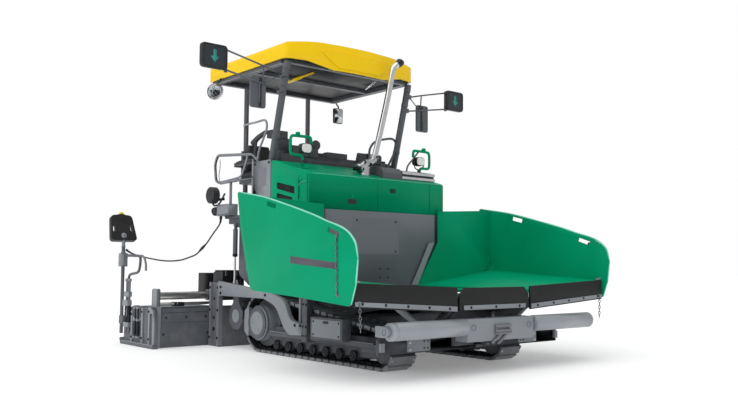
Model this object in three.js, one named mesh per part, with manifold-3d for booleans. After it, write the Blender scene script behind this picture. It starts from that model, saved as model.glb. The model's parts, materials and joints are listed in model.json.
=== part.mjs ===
// A compact tracked asphalt paver with an extending screed, in millimetres.
// +X is the direction of travel, +Y the machine's left, +Z up. The origin is on the ground, at the middle
// of the overall length and width. Everything in `sides` is drawn for the left and mirrored for the right.
import * as THREE from "three";
import { mergeVertices } from "three/addons/utils/BufferGeometryUtils.js";
import Module from "manifold-3d";

const wasm = await Module();
wasm.setup();

// ---------------------------------------------------------------- driving dimensions
const noseX = 2475; // front of the push rollers
const tailX = -2475; // rear edge of the walkway

const frameInner = 460; // half the clear width of the conveyor tunnel
const framePlate = 40;
const frameOuter = frameInner + framePlate;
const frameBottom = 250;
const frameRear = -540;
const frameFront = 2080;
const deckTop = 400; // conveyor deck
const deckPlate = 20;
const noseDeckRise = 200; // the deck climbs this much to the aprons
const tunnelTop = 700;
const tunnelRoof = 20;
const cheekTop = 668; // frame plates beside the hopper, under the wing hinges

const trackInner = 580;
const trackOuter = 880;
const sprocketX = -240;
const sprocketRadius = 320; // to the outside of the shoes
const idlerX = 1740;
const idlerRadius = 190;
const trackThickness = 58;
const shoePitch = 108;
const shoeGap = 14;
const shoeDepth = 16;

const bulkheadX = 755; // rear face
const bulkheadPlate = 20;
const bulkheadTop = 1520;
const bulkheadHalf = 770;
const shoulderZ = 1210; // where the bulkhead and the wings' rear walls turn to the diagonal

const tankOuter = 895;
const tankRear = -680;
const tankFront = 735;
const platformZ = 1480;
const platformPlate = 30;
const platformRear = -1050;
const tailboardRear = -1360;
const tailboardHalf = 560;

const hoodHalf = 947;
const hoodFront = 733;
const hoodRear = 40;
const hoodBottom = platformZ + platformPlate;
const hoodNoseZ = 1880;
const hoodBackZ = 2065;
const hoodWall = 22;
const doorRear = 120;
const doorFront = 560;
const doorBottom = 1565;
const doorTop = 1860;
const doorPlate = 20;
const doorClear = 6;
const doorHingeRadius = 8;
const exhaustX = 500;
const exhaustY = -30;
const exhaustBase = 60;

const wingHingeY = frameInner + framePlate / 2;
const wingHingeZ = 700;
const wingHingeRadius = 20;
const wingHalf = 1700; // outer face of the hopper wings
const wingPlate = 12;
const wingWall = 20;
const wingRearX = 782;
const wingFrontX = 2330;
const wingFloorInner = 735;
const wingFloorRear = 906;
const wingFloorNose = 812;
const apronPlate = 24;
const apronDrop = 190;

const ramX = 2010; // plane of the wing cylinders
const ramFoot = [575, 385]; // y, z of the barrel's pin
const ramHead = [1120, 728]; // y, z of the rod's eye
const ramRadius = 32;
const ramRod = 18;
const ramBarrelLength = 420;

const crossX = 2080;
const crossPlate = 30;
const crossHalf = 1200;
const crossBottom = 195;
const crossTop = 330;

const rollerRadius = 75;
const rollerZ = 420;
const rollerInner = 465;
const rollerOuter = 1340;
const beamPivotX = 2230;
const beamPinLow = 270;
const beamPinHigh = 440;

const augerX = -720;
const augerZ = 370;
const augerRadius = 150;
const augerPitch = 240;
const augerBlade = 14;
const augerInner = 75;
const augerOuter = 880;

const towX = 590;
const towZ = 300;
const armInner = 905;
const armPlate = 50;
const armTop = 665;

const screedFront = -1030;
const screedBack = -1265;
const screedHalf = 915;
const screedTop = 460;
const extensionFront = -1290;
const extensionBack = -1700;
const extensionInner = 905;
const extensionOuter = 1585;
const guideX = -1360;
const guideZ = 585;
const guideRadius = 45;
const guideClear = 0.8;
const gateInner = 1605;
const gatePlate = 30;
const walkwayZ = 500;
const walkwayPlate = 30;

const liftX = -700;
const liftTop = 1400;
const liftBottom = 750;
const liftRadius = 27;
const liftRod = 12;
const liftBarrelLength = 330;

const roofFront = 330;
const roofRear = -1400;
const roofHalf = 930;
const roofBottom = 3150;
const roofTop = 3365;
const roofShell = 25;
const postFrontTop = [216, 875, 3125];
const postLean = 0.264; // how far the front posts lean back, per unit of height
const postRadius = 30;
const rearPost = [-1280, 464];

const pinGap = 0.8;
const turn = Math.PI * 2;

// ---------------------------------------------------------------- shapes
function solid(geometry) {
  const bare = geometry.index ? geometry.toNonIndexed() : geometry.clone();
  bare.deleteAttribute("normal");
  bare.deleteAttribute("uv");
  const merged = mergeVertices(bare, 1e-3);
  const triVerts = new Uint32Array(merged.index.array);
  return new wasm.Manifold(
    new wasm.Mesh({ numProp: 3, vertProperties: merged.attributes.position.array, triVerts }),
  );
}

const join = (first, ...rest) => rest.reduce((whole, piece) => whole.add(piece), first);
const cut = (first, ...tools) => tools.reduce((whole, tool) => whole.subtract(tool), first);

function box(x0, x1, y0, y1, z0, z1) {
  const block = new THREE.BoxGeometry(x1 - x0, y1 - y0, z1 - z0);
  return solid(block.translate((x0 + x1) / 2, (y0 + y1) / 2, (z0 + z1) / 2));
}

// A closed outline through [a, b] or [a, b, corner radius] points.
function outline(points) {
  const corners = points.map(([a, b, radius = 0]) => ({ at: new THREE.Vector2(a, b), radius }));
  const shape = new THREE.Shape();
  corners.forEach(({ at, radius }, i) => {
    const before = corners[(i + corners.length - 1) % corners.length].at;
    const after = corners[(i + 1) % corners.length].at;
    const enter = at.clone().add(before.clone().sub(at).setLength(radius || 1e-9));
    const leave = at.clone().add(after.clone().sub(at).setLength(radius || 1e-9));
    if (i) shape.lineTo(enter.x, enter.y);
    else shape.moveTo(enter.x, enter.y);
    if (radius) shape.quadraticCurveTo(at.x, at.y, leave.x, leave.y);
  });
  shape.closePath();
  return shape;
}

function extrude(points, depth) {
  const settings = { depth, bevelEnabled: false, curveSegments: 5 };
  return new THREE.ExtrudeGeometry(outline(points), settings);
}

// A plate whose outline is in X and Z, from y0 to y1.
function plateY(points, y0, y1) {
  return solid(extrude(points, y1 - y0).rotateX(Math.PI / 2).translate(0, y1, 0));
}

// A plate whose outline is in Y and Z, from x0 to x1.
function plateX(points, x0, x1) {
  const toX = new THREE.Matrix4().makeBasis(
    new THREE.Vector3(0, 1, 0),
    new THREE.Vector3(0, 0, 1),
    new THREE.Vector3(1, 0, 0),
  );
  return solid(extrude(points, x1 - x0).applyMatrix4(toX).translate(x0, 0, 0));
}

// A plate whose outline is in X and Y, from z0 to z1.
function plateZ(points, z0, z1) {
  return solid(extrude(points, z1 - z0).translate(0, 0, z0));
}

function rod(from, to, radius, sides = 16) {
  const a = new THREE.Vector3(...from);
  const b = new THREE.Vector3(...to);
  const along = b.clone().sub(a);
  const shape = new THREE.CylinderGeometry(radius, radius, along.length(), sides);
  const aim = new THREE.Quaternion().setFromUnitVectors(new THREE.Vector3(0, 1, 0), along.normalize());
  const middle = a.add(b).multiplyScalar(0.5);
  return solid(shape.applyQuaternion(aim).translate(middle.x, middle.y, middle.z));
}

// The centre line of a bent tube: straight runs joined by bends.
function bentLine(points, bend) {
  const at = points.map((p) => new THREE.Vector3(...p));
  const path = new THREE.CurvePath();
  let last = at[0];
  for (let i = 1; i < at.length - 1; i++) {
    const reach = Math.min(bend, at[i].distanceTo(at[i - 1]) * 0.45, at[i].distanceTo(at[i + 1]) * 0.45);
    const enter = at[i].clone().add(at[i - 1].clone().sub(at[i]).setLength(reach));
    const leave = at[i].clone().add(at[i + 1].clone().sub(at[i]).setLength(reach));
    path.add(new THREE.LineCurve3(last, enter));
    path.add(new THREE.QuadraticBezierCurve3(enter, at[i], leave));
    last = leave;
  }
  path.add(new THREE.LineCurve3(last, at[at.length - 1]));
  return path;
}

function ringShape(radius, sides) {
  const shape = new THREE.Shape();
  for (let i = 0; i < sides; i++) {
    const angle = (turn * i) / sides;
    const x = radius * Math.cos(angle);
    const y = radius * Math.sin(angle);
    if (i) shape.lineTo(x, y);
    else shape.moveTo(x, y);
  }
  shape.closePath();
  return shape;
}

// A curve sampled only where its rings should be, so that straight runs stay one long facet.
class RingLine extends THREE.Curve {
  constructor(stations) {
    super();
    this.stations = stations;
  }
  station(u) {
    return this.stations[Math.round(u * (this.stations.length - 1))];
  }
  getPointAt(u) {
    return this.station(u).at.clone();
  }
  getTangentAt(u) {
    return this.station(u).along.clone();
  }
}

// A bent tube: rings at its two ends and along each bend.
function tube(points, radius, bend = 90, sides = 8) {
  const stations = [];
  for (const run of bentLine(points, bend).curves) {
    const straight = run instanceof THREE.LineCurve3;
    const count = straight ? 1 : 4;
    for (let i = 0; i <= count; i++) {
      const station = { at: run.getPoint(i / count), along: run.getTangent(i / count) };
      const last = stations[stations.length - 1];
      if (!last || last.at.distanceTo(station.at) > 1) stations.push(station);
    }
  }
  const settings = { steps: stations.length - 1, extrudePath: new RingLine(stations) };
  return solid(new THREE.ExtrudeGeometry(ringShape(radius, sides), settings));
}

// A cord: an even number of steps along a smooth curve through its points.
function cord(points, radius, step) {
  const path = new THREE.CatmullRomCurve3(points.map((p) => new THREE.Vector3(...p)));
  const steps = Math.round(path.getLength() / step);
  return solid(new THREE.ExtrudeGeometry(ringShape(radius, 10), { steps, extrudePath: path }));
}

// A closed surface through rings of points, one ring after the other.
function loft(rings) {
  const count = rings[0].length;
  const faces = [];
  rings.slice(1).forEach((ring, r) => {
    for (let i = 0; i < count; i++) {
      const j = (i + 1) % count;
      faces.push(rings[r][i], rings[r][j], ring[j], rings[r][i], ring[j], ring[i]);
    }
  });
  const last = rings[rings.length - 1];
  for (let i = 1; i < count - 1; i++) {
    faces.push(rings[0][0], rings[0][i + 1], rings[0][i]);
    faces.push(last[0], last[i], last[i + 1]);
  }
  const geometry = new THREE.BufferGeometry();
  geometry.setAttribute("position", new THREE.Float32BufferAttribute(faces.flat(), 3));
  return solid(geometry);
}

// ---------------------------------------------------------------- materials and nodes
function finish(color, roughness, metalness) {
  return new THREE.MeshStandardMaterial({ color, roughness, metalness });
}
const green = finish(0x00885f, 0.35, 0.1);
const yellow = finish(0xf2d21c, 0.35, 0.1);
const grey = finish(0x74787e, 0.45, 0.2);
const darkGrey = finish(0x4b4e54, 0.5, 0.2);
const steel = finish(0xb9bcc0, 0.3, 0.9);
const black = finish(0x1f2023, 0.6, 0);
const rubber = finish(0x26272a, 0.85, 0);
const cushion = finish(0x2a2a2d, 0.8, 0);

const machine = new THREE.Group();
const sides = { left: new THREE.Group(), right: new THREE.Group() };
sides.right.scale.y = -1;
machine.add(sides.left, sides.right);

function meshOf(name, body, material) {
  const { vertProperties, triVerts, numProp, numVert } = body.getMesh();
  const positions = new Float32Array(numVert * 3);
  for (let i = 0; i < numVert; i++) {
    positions.set(vertProperties.subarray(i * numProp, i * numProp + 3), i * 3);
  }
  const geometry = new THREE.BufferGeometry();
  geometry.setAttribute("position", new THREE.BufferAttribute(positions, 3));
  geometry.setIndex(new THREE.BufferAttribute(triVerts, 1));
  const mesh = new THREE.Mesh(geometry, material);
  mesh.name = name;
  return mesh;
}

const add = (name, body, material) => machine.add(meshOf(name, body, material));
function addPair(name, body, material) {
  for (const side in sides) sides[side].add(meshOf(`${name}_${side}`, body, material));
}

// A mirror image in Y, for pieces that cross the middle.
function both(body) {
  const mesh = meshOf("half", body, grey);
  const flipped = mesh.geometry.toNonIndexed().scale(1, -1, 1);
  const at = flipped.attributes.position;
  for (let i = 0; i < at.count; i += 3) {
    const b = [at.getX(i + 1), at.getY(i + 1), at.getZ(i + 1)];
    at.setXYZ(i + 1, at.getX(i + 2), at.getY(i + 2), at.getZ(i + 2));
    at.setXYZ(i + 2, ...b);
  }
  return join(body, solid(flipped));
}

// ---------------------------------------------------------------- chassis, conveyor, engine
const tieLow = frameBottom;
const tieDepth = 130;
function chassis() {
  const cheek = [
    [frameRear, frameBottom],
    [frameFront, frameBottom],
    [frameFront, deckTop],
    [wingFrontX, deckTop + noseDeckRise - 10],
    [wingFrontX, cheekTop],
    [bulkheadX + bulkheadPlate, cheekTop],
    [bulkheadX + bulkheadPlate, tunnelTop + tunnelRoof],
    [frameRear, tunnelTop + tunnelRoof],
  ];
  const noseDeck = [
    [frameFront - 1, deckTop - deckPlate],
    [wingFrontX, deckTop + noseDeckRise - deckPlate],
    [wingFrontX, deckTop + noseDeckRise],
    [frameFront - 1, deckTop],
  ];
  const mountEnd = trackInner + 60 - 0.4;
  const half = join(
    plateY(cheek, frameInner, frameOuter),
    plateY(noseDeck, -1, frameInner + 1),
    box(frameRear, frameFront, -1, frameInner + 1, deckTop - deckPlate, deckTop),
    box(frameRear, bulkheadX + bulkheadPlate, -1, frameInner + 1, tunnelTop, tunnelTop + tunnelRoof),
    box(-120, 80, -1, frameInner + 1, tieLow, tieLow + tieDepth + 1),
    box(1150, 1350, -1, frameInner + 1, tieLow, tieLow + tieDepth + 1),
    box(150, 290, frameOuter - 1, mountEnd, frameBottom, 290), // track mounts
    box(1200, 1340, frameOuter - 1, mountEnd, frameBottom, 290),
    box(crossX, crossX + crossPlate, -1, crossHalf, crossBottom, crossTop),
    box(crossX - 60, crossX + 1, -1, frameInner + 1, crossBottom, deckTop - 1),
    box(crossX + crossPlate - 1, beamPivotX - 80, -1, 330, crossTop - 100, crossTop + 20),
    box(crossX + crossPlate - 1, beamPivotX + 45, -1, 70, beamPinLow - 35, beamPinLow - 0.5),
    ...hingeLugs().map(([from, to]) => hingeLug(from, to)),
    box(ramX - 34, ramX - 20, frameOuter - 1, ramFoot[0], ramFoot[1] - 22, ramFoot[1] + 22),
    rod([ramX - 34, ...ramFoot], [ramX - 20, ...ramFoot], 22, 16),
  );
  return both(half);
}

// X ranges of the lugs that hold each wing's hinge tube.
function hingeLugs() {
  const width = 30;
  return [wingRearX + 25, (wingRearX + wingFrontX) / 2, wingFrontX - 60].map((x) => [x, x + width]);
}
function hingeLug(from, to) {
  return join(
    box(from, to, frameInner, frameOuter, cheekTop - 40, wingHingeZ),
    rod([from, wingHingeY, wingHingeZ], [to, wingHingeY, wingHingeZ], wingHingeRadius, 12),
  );
}
add("chassis_frame", chassis(), darkGrey);

const conveyorClear = 50; // from the chains to the frame plates
const conveyorHalf = frameInner - conveyorClear;
const conveyorRise = 36;
function conveyor() {
  const top = deckTop + 2 + conveyorRise;
  const rear = frameRear - 5;
  const front = frameFront - 20;
  const slab = [
    [rear, deckTop + 0.3, 0],
    [front, deckTop + 0.3, 0],
    [front, top, 15],
    [rear, top, 15],
  ];
  return plateY(slab, -conveyorHalf, conveyorHalf);
}
add("slat_conveyor", conveyor(), steel);

const engineTop = 1640;
add("engine_block", box(80, 660, -360, 360, tunnelTop + tunnelRoof, engineTop), darkGrey);

// The grey panel between the hopper and the engine.
function bulkhead() {
  const panel = [
    [-frameOuter, tunnelTop + tunnelRoof],
    [frameOuter, tunnelTop + tunnelRoof],
    [bulkheadHalf, shoulderZ - 20],
    [bulkheadHalf, bulkheadTop],
    [-bulkheadHalf, bulkheadTop],
    [-bulkheadHalf, shoulderZ - 20],
  ];
  return plateX(panel, bulkheadX, bulkheadX + bulkheadPlate);
}
add("bulkhead", bulkhead(), darkGrey);

// ---------------------------------------------------------------- tanks, hood and platform
const liftLug = 22;
function sideTank() {
  const bottom = tunnelTop + tunnelRoof;
  const side = [
    [tankRear, bottom + 120, 60],
    [tankRear + 220, bottom],
    [tankFront, bottom],
    [tankFront, platformZ],
    [tankRear, platformZ],
  ];
  const lug = plateY(
    [
      [liftX - 30, liftTop - 30, 22],
      [tankRear + 30, liftTop - 30],
      [tankRear + 30, liftTop + 30],
      [liftX - 30, liftTop + 30, 22],
    ],
    tankOuter - 40,
    tankOuter + liftLug,
  );
  return join(plateY(side, 400, tankOuter), lug);
}
// The hood's roof line: its height at a place along the machine.
const hoodSlope = (hoodBackZ - hoodNoseZ) / (hoodFront - hoodRear - 40);
const hoodZ = (x) => Math.min(hoodBackZ, hoodNoseZ + hoodSlope * (hoodFront - x));
function hood() {
  const shape = (inset, bottom) => [
    [hoodFront - inset, bottom],
    [hoodFront - inset, hoodNoseZ - inset * 1.1, inset ? 0 : 30],
    [hoodRear + 40 + inset, hoodZ(hoodRear + 40) - inset * 1.1, inset ? 0 : 20],
    [hoodRear + inset, hoodBackZ - 15 - inset * 1.1],
    [hoodRear + inset, bottom],
  ];
  const doorHole = (sign) => {
    const y = [sign * (hoodHalf + 50), sign * (hoodHalf - hoodWall - 10)].sort((a, b) => a - b);
    return box(doorRear, doorFront, y[0], y[1], doorBottom, doorTop);
  };
  const shell = cut(
    plateY(shape(0, hoodBottom), -hoodHalf, hoodHalf),
    plateY(shape(hoodWall, hoodBottom - 1), -hoodHalf + hoodWall, hoodHalf - hoodWall),
    doorHole(1),
    doorHole(-1),
    rod([exhaustX, exhaustY, hoodBottom], [exhaustX, exhaustY, hoodBackZ + 50], exhaustBase + 6, 16),
  );
  const knuckles = join(doorKnuckle(doorBottom + 30, doorBottom + 60, 1), doorKnuckle(doorTop - 60, doorTop - 30, 1));
  return join(shell, both(knuckles));
}
// A piece of the door's hinge with its leaf, on the hood's side (1) or the door's side (-1).
function doorKnuckle(low, high, toward) {
  const leaf = [doorFront - 4, doorFront - 4 + toward * 44].sort((a, b) => a - b);
  return join(
    rod([doorFront - 4, hoodHalf + doorHingeRadius, low], [doorFront - 4, hoodHalf + doorHingeRadius, high], doorHingeRadius, 12),
    box(...leaf, hoodHalf + (toward > 0 ? -0.5 : 0.2), hoodHalf + 4, low, high),
  );
}
add("hood", hood(), green);

function hoodDoor() {
  const outer = hoodHalf - 1;
  const panel = box(
    doorRear + doorClear,
    doorFront - doorClear,
    outer - doorPlate,
    outer,
    doorBottom + doorClear,
    doorTop - doorClear,
  );
  const strap = box(doorFront - 60, doorFront - doorClear, outer - 1, hoodHalf + 3, doorBottom + 61, doorTop - 61);
  return join(panel, strap, doorKnuckle(doorBottom + 60 + pinGap, doorTop - 60 - pinGap, -1));
}
addPair("hood_door", hoodDoor(), green);
addPair("side_tank", sideTank(), darkGrey);

const floorZ = platformZ + platformPlate;
const treadHalf = 210; // raised tread plate between the seats
const treadFront = -350;
function platform() {
  const floor = [
    [hoodRear - 1, tankOuter],
    [platformRear, tankOuter, 60],
    [platformRear, tailboardHalf],
    [tailboardRear, tailboardHalf, 60],
    [tailboardRear, -tailboardHalf, 60],
    [platformRear, -tailboardHalf],
    [platformRear, -tankOuter, 60],
    [hoodRear - 1, -tankOuter],
  ];
  const skirt = box(platformRear + 30, tankRear - 20, -tankOuter + 60, tankOuter - 60, platformZ - 60, platformZ + 1);
  const ledge = box(hoodRear - 2, tankFront, -tankOuter, tankOuter, platformZ, platformZ + platformPlate);
  const engineBay = box(hoodRear + 5, tankFront - 40, -390, 390, platformZ - 1, platformZ + platformPlate + 1);
  const tread = box(platformRear + 20, treadFront, -treadHalf, treadHalf, floorZ - 1, floorZ + 4);
  return cut(join(plateZ(floor, platformZ, floorZ), skirt, ledge, tread), engineBay);
}
add("platform", platform(), darkGrey);

const deskFront = hoodRear - 12;
function operatorConsole() {
  const desk = [
    [deskFront, floorZ],
    [deskFront, 2110, 20],
    [deskFront - 60, 2180, 20],
    [deskFront - 330, 2090, 20],
    [deskFront - 330, 2040],
    [deskFront - 170, 2000],
    [deskFront - 150, floorZ],
  ];
  return plateY(desk, -800, 800);
}
add("operator_console", operatorConsole(), black);

// ---------------------------------------------------------------- seats
const seatY = 470;
const seatX = -800;
function seatFrame() {
  return join(
    box(seatX - 160, seatX + 160, seatY - 150, seatY + 150, floorZ, floorZ + 40),
    box(seatX - 90, seatX + 90, seatY - 90, seatY + 90, floorZ + 39, 1900),
    box(seatX - 230, seatX + 230, seatY - 230, seatY + 230, 1899, 1935),
    box(seatX - 262, seatX - 232, seatY - 190, seatY + 190, 1899, 2300),
    box(seatX - 240, seatX - 228, seatY - 200, seatY + 200, 1899, 1935),
    box(seatX - 250, seatX + 130, seatY - 285, seatY - 250, 2110, 2150),
    box(seatX - 250, seatX + 130, seatY + 250, seatY + 285, 2110, 2150),
    box(seatX - 262, seatX - 235, seatY - 285, seatY + 285, 2100, 2150),
  );
}
function seatPad() {
  const side = [
    [seatX - 228, 1935.4, 10],
    [seatX + 240, 1935.4, 40],
    [seatX + 250, 2060, 40],
    [seatX - 110, 2040, 40],
    [seatX - 150, 2400, 45],
    [seatX - 231.6, 2400, 30],
  ];
  return plateY(side, seatY - 225, seatY + 225);
}
addPair("seat_frame", seatFrame(), black);
addPair("seat_cushion", seatPad(), cushion);

// ---------------------------------------------------------------- side rails
const railY = 865;
const railTube = 17;
const shieldY = 918; // inner face of the plate beside the operator
const cordExit = [-1046, 928, 1490];
const cordBoxRear = -1080;
const railLegX = -940;
function sideRail() {
  const loopFront = -330;
  const loopRear = -1320;
  const midZ = 1925;
  return join(
    tube(
      [
        [loopFront, railY, floorZ],
        [loopFront, railY, 2090],
        [loopFront - 150, railY, 2190],
        [loopRear + 60, railY, 2250],
        [loopRear, railY, 2150],
        [loopRear + 30, railY, midZ + 20],
        [loopRear + 130, railY, midZ - 15],
        [loopFront, railY, midZ],
      ],
      railTube,
      45,
    ),
    tube([[railLegX, railY, floorZ], [railLegX, railY, midZ - 5]], railTube),
    box(-330, hoodRear - 25, shieldY, shieldY + 20, platformZ, 2080),
    box(-320, hoodRear - 30, tankOuter + 0.4, shieldY + 1, platformZ + 2, platformZ + 26),
    box(loopFront - 12, loopFront + 12, railY, shieldY + 1, 1700, 1740),
    box(cordBoxRear, -800, railY - 15, railY + 100, floorZ, 1640),
    rod([...cordExit.slice(0, 2), floorZ + 1], [...cordExit.slice(0, 2), cordExit[2] + 0.3], 16, 12),
  );
}
addPair("side_rail", sideRail(), grey);

// ---------------------------------------------------------------- tracks
// The track's path: two circles and the straight runs that touch both.
function trackLine(shrink) {
  const rear = { x: sprocketX, z: sprocketRadius, r: sprocketRadius - shrink };
  const front = { x: idlerX, z: idlerRadius, r: idlerRadius - shrink };
  const span = Math.hypot(front.x - rear.x, front.z - rear.z);
  const tilt = Math.atan2(front.z - rear.z, front.x - rear.x);
  const lean = Math.acos((rear.r - front.r) / span);
  const path = new THREE.Path();
  path.absarc(rear.x, rear.z, rear.r, tilt + lean, turn - Math.PI / 2, false);
  path.absarc(front.x, front.z, front.r, -Math.PI / 2, tilt + lean, false);
  path.closePath();
  return path;
}
function track() {
  const path = trackLine(0);
  const shoes = Math.round(path.getLength() / shoePitch);
  const step = 1 / shoes;
  const gap = (shoeGap / path.getLength()) * 0.5;
  const shape = new THREE.Shape();
  const corner = (t, inset) => {
    const at = path.getPointAt(((t % 1) + 1) % 1);
    const along = path.getTangentAt(((t % 1) + 1) % 1);
    return [at.x - along.y * inset, Math.max(0, at.y + along.x * inset)];
  };
  for (let i = 0; i < shoes; i++) {
    const ring = [
      corner(i * step + gap, shoeDepth),
      corner(i * step + gap, 0),
      corner((i + 1) * step - gap, 0),
      corner((i + 1) * step - gap, shoeDepth),
    ];
    ring.forEach(([x, z], n) => (i || n ? shape.lineTo(x, z) : shape.moveTo(x, z)));
  }
  shape.closePath();
  shape.holes.push(new THREE.Path(trackLine(trackThickness).getPoints(8)));
  const depth = trackOuter - trackInner;
  const loop = new THREE.ExtrudeGeometry(shape, { depth, bevelEnabled: false });
  return solid(loop.rotateX(Math.PI / 2).translate(0, trackOuter, 0));
}
addPair("track", track(), steel);

const sprocketClear = 6;
function trackFrame() {
  const low = trackThickness + 0.5;
  const rollers = [];
  const rollerGap = 215;
  for (let x = 60; x < idlerX - 200; x += rollerGap) {
    rollers.push(rod([x, trackInner + 20, low + 50], [x, trackOuter - 14, low + 50], 50, 10));
  }
  const wheel = (x, z, r, y0, y1, sides = 20) => rod([x, y0, z], [x, y1, z], r, sides);
  const idler = idlerRadius - trackThickness - sprocketClear;
  const sprocket = sprocketRadius - trackThickness - sprocketClear;
  const postFront = towX + 150;
  return join(
    box(-40, idlerX - 40, trackInner + 60, trackOuter - 60, low + 40, 292),
    ...rollers,
    wheel(idlerX, idlerRadius, idler, trackInner + 50, trackOuter - 50),
    box(idlerX - 260, idlerX + 20, trackInner + 30, trackOuter - 18, idlerRadius - 35, idlerRadius + 35),
    wheel(sprocketX, sprocketRadius, sprocket, trackInner + 90, trackOuter - 90),
    box(sprocketX, 20, trackInner + 60, trackOuter - 60, 170, 292),
    wheel(sprocketX, sprocketRadius, 190, 725, 900, 24),
    wheel(sprocketX, sprocketRadius, 172, 899, 925, 24),
    wheel(sprocketX, sprocketRadius, 120, frameOuter + 0.5, 727, 16),
    box(postFront - 80, postFront, 860, 960, 190, 240), // tow-point guide
    box(postFront - 80, postFront, 892, 960, 190, 620),
    box(postFront - 60, postFront - 20, trackOuter - 90, 900, 190, 240),
    box(towX - 50, postFront - 10, 885, armInner - pinGap, 232, 360), // wear plate inside the tow arm
    box(860, 1360, 892, 1000, 240, 450), // side box
    box(1060, 1120, trackOuter - 90, 893, 245, 285),
    box(sprocketX + 200, idlerX, 892, 907, 205, 240), // mud strip
  );
}
addPair("track_frame", trackFrame(), darkGrey);

// ---------------------------------------------------------------- hopper wings
const wingSide = [
  [880, 720, 40],
  [1690, 677],
  [2350, 632, 30],
  [2410, 800],
  [2435, 1010],
  [2400, 1150, 60],
  [2200, 1265, 60],
  [2030, 1312],
  [1820, 1378],
  [1440, 1478],
  [1070, 1566],
  [620, 1640, 20],
  [690, 1270],
];
// Height of the wing floor's top at a place along and across the machine.
function wingFloorZ(x, y) {
  const along = (x - wingRearX) / (wingFrontX - wingRearX);
  const outer = wingFloorRear + (wingFloorNose - wingFloorRear) * along;
  return wingFloorInner + ((outer - wingFloorInner) * (y - wingHingeY)) / (wingHalf - wingHingeY);
}
function wing() {
  const inner = wingHingeY + 8;
  const outer = wingHalf - wingWall / 2;
  const edge = (x) => [
    [x, inner, wingFloorZ(x, inner) - wingPlate],
    [x, outer, wingFloorZ(x, outer) - wingPlate],
    [x, outer, wingFloorZ(x, outer)],
    [x, inner, wingFloorZ(x, inner)],
  ];
  const floor = loft([edge(wingRearX), edge(wingFrontX)]);
  const rearWall = plateX(
    [
      [inner, wingFloorInner - 6],
      [outer, wingFloorRear - 6],
      [outer, 1612],
      [bulkheadHalf + 200, 1572],
      [bulkheadHalf + 35, 1565],
      [bulkheadHalf + 35, shoulderZ],
    ],
    wingRearX,
    wingRearX + 18,
  );
  const web = plateX(
    [
      [wingHingeY - 2, wingHingeZ - 4],
      [wingHingeY + 16, wingHingeZ - 4],
      [wingHingeY + 40, wingFloorInner - 4],
      [wingHingeY + 8, wingFloorInner - 4],
    ],
    wingRearX,
    wingFrontX,
  );
  const lugs = hingeLugs();
  const clearings = lugs.map(([from, to]) =>
    box(from - pinGap, to + pinGap, frameInner - 10, frameOuter + 40, cheekTop - 60, wingFloorInner - wingPlate - 2),
  );
  const hinge = rod([wingRearX, wingHingeY, wingHingeZ], [wingFrontX, wingHingeY, wingHingeZ], wingHingeRadius, 12);
  const eyeLug = plateX(
    [
      [ramHead[0] - 50, wingFloorZ(ramX, ramHead[0] - 50) - 4],
      [ramHead[0] - 22, ramHead[1] - 22, 12],
      [ramHead[0] + 22, ramHead[1] - 22, 12],
      [ramHead[0] + 50, wingFloorZ(ramX, ramHead[0] + 50) - 4],
    ],
    ramX - 34,
    ramX - 20,
  );
  const wall = cut(
    plateY(wingSide, wingHalf - wingWall, wingHalf),
    plateY([[1132, 1484], [1278, 1449], [1290, 1492], [1140, 1528]], wingHalf - 60, wingHalf + 10),
    plateY([[2046, 1226], [2192, 1178], [2206, 1218], [2058, 1266]], wingHalf - 60, wingHalf + 10),
  );
  return join(floor, rearWall, wall, cut(join(web, hinge), ...clearings), eyeLug);
}
addPair("hopper_wing", wing(), green);

// Rubber aprons with their steel clamp strips, along the hopper's front edge.
const apronX = wingFrontX + 0.4;
function wingApron() {
  const bottom = (y) => wingFloorZ(wingFrontX, y) - apronDrop;
  const inner = wingHingeY + 20;
  const outer = wingHalf - 40;
  const flap = [
    [inner, bottom(inner)],
    [outer, bottom(outer)],
    [outer, wingFloorZ(wingFrontX, outer) + 6],
    [inner, wingFloorZ(wingFrontX, inner) + 30],
  ];
  return plateX(flap, apronX, apronX + apronPlate);
}
addPair("wing_apron", wingApron(), rubber);

function centreApron() {
  const half = wingHingeY - 10;
  const flap = [
    [-half, 560],
    [half, 560],
    [half, wingHingeZ - 5],
    [half - 65, wingHingeZ + 62],
    [65 - half, wingHingeZ + 62],
    [-half, wingHingeZ - 5],
  ];
  return plateX(flap, apronX, apronX + apronPlate);
}
add("centre_apron", centreApron(), rubber);

// ---------------------------------------------------------------- wing cylinders
const aim = new THREE.Vector2(ramHead[0] - ramFoot[0], ramHead[1] - ramFoot[1]);
const ramLength = aim.length();
aim.normalize();
const alongRam = (distance) => [ramX, ramFoot[0] + aim.x * distance, ramFoot[1] + aim.y * distance];
function eye([x, y, z], radius) {
  return rod([x - 20 + pinGap, y, z], [x + 18, y, z], radius, 14);
}
function ramBarrel() {
  const shell = join(
    rod(alongRam(60), alongRam(ramBarrelLength), ramRadius, 16),
    rod(alongRam(0), alongRam(62), 16, 8),
    eye(alongRam(0), 24),
  );
  return cut(shell, rod(alongRam(90), alongRam(ramBarrelLength + 5), ramRod + 5, 12));
}
function ramPiston() {
  return join(rod(alongRam(110), alongRam(ramLength), ramRod, 12), eye(alongRam(ramLength), 24));
}
addPair("wing_cylinder", ramBarrel(), grey);
addPair("wing_cylinder_rod", ramPiston(), steel);

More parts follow.
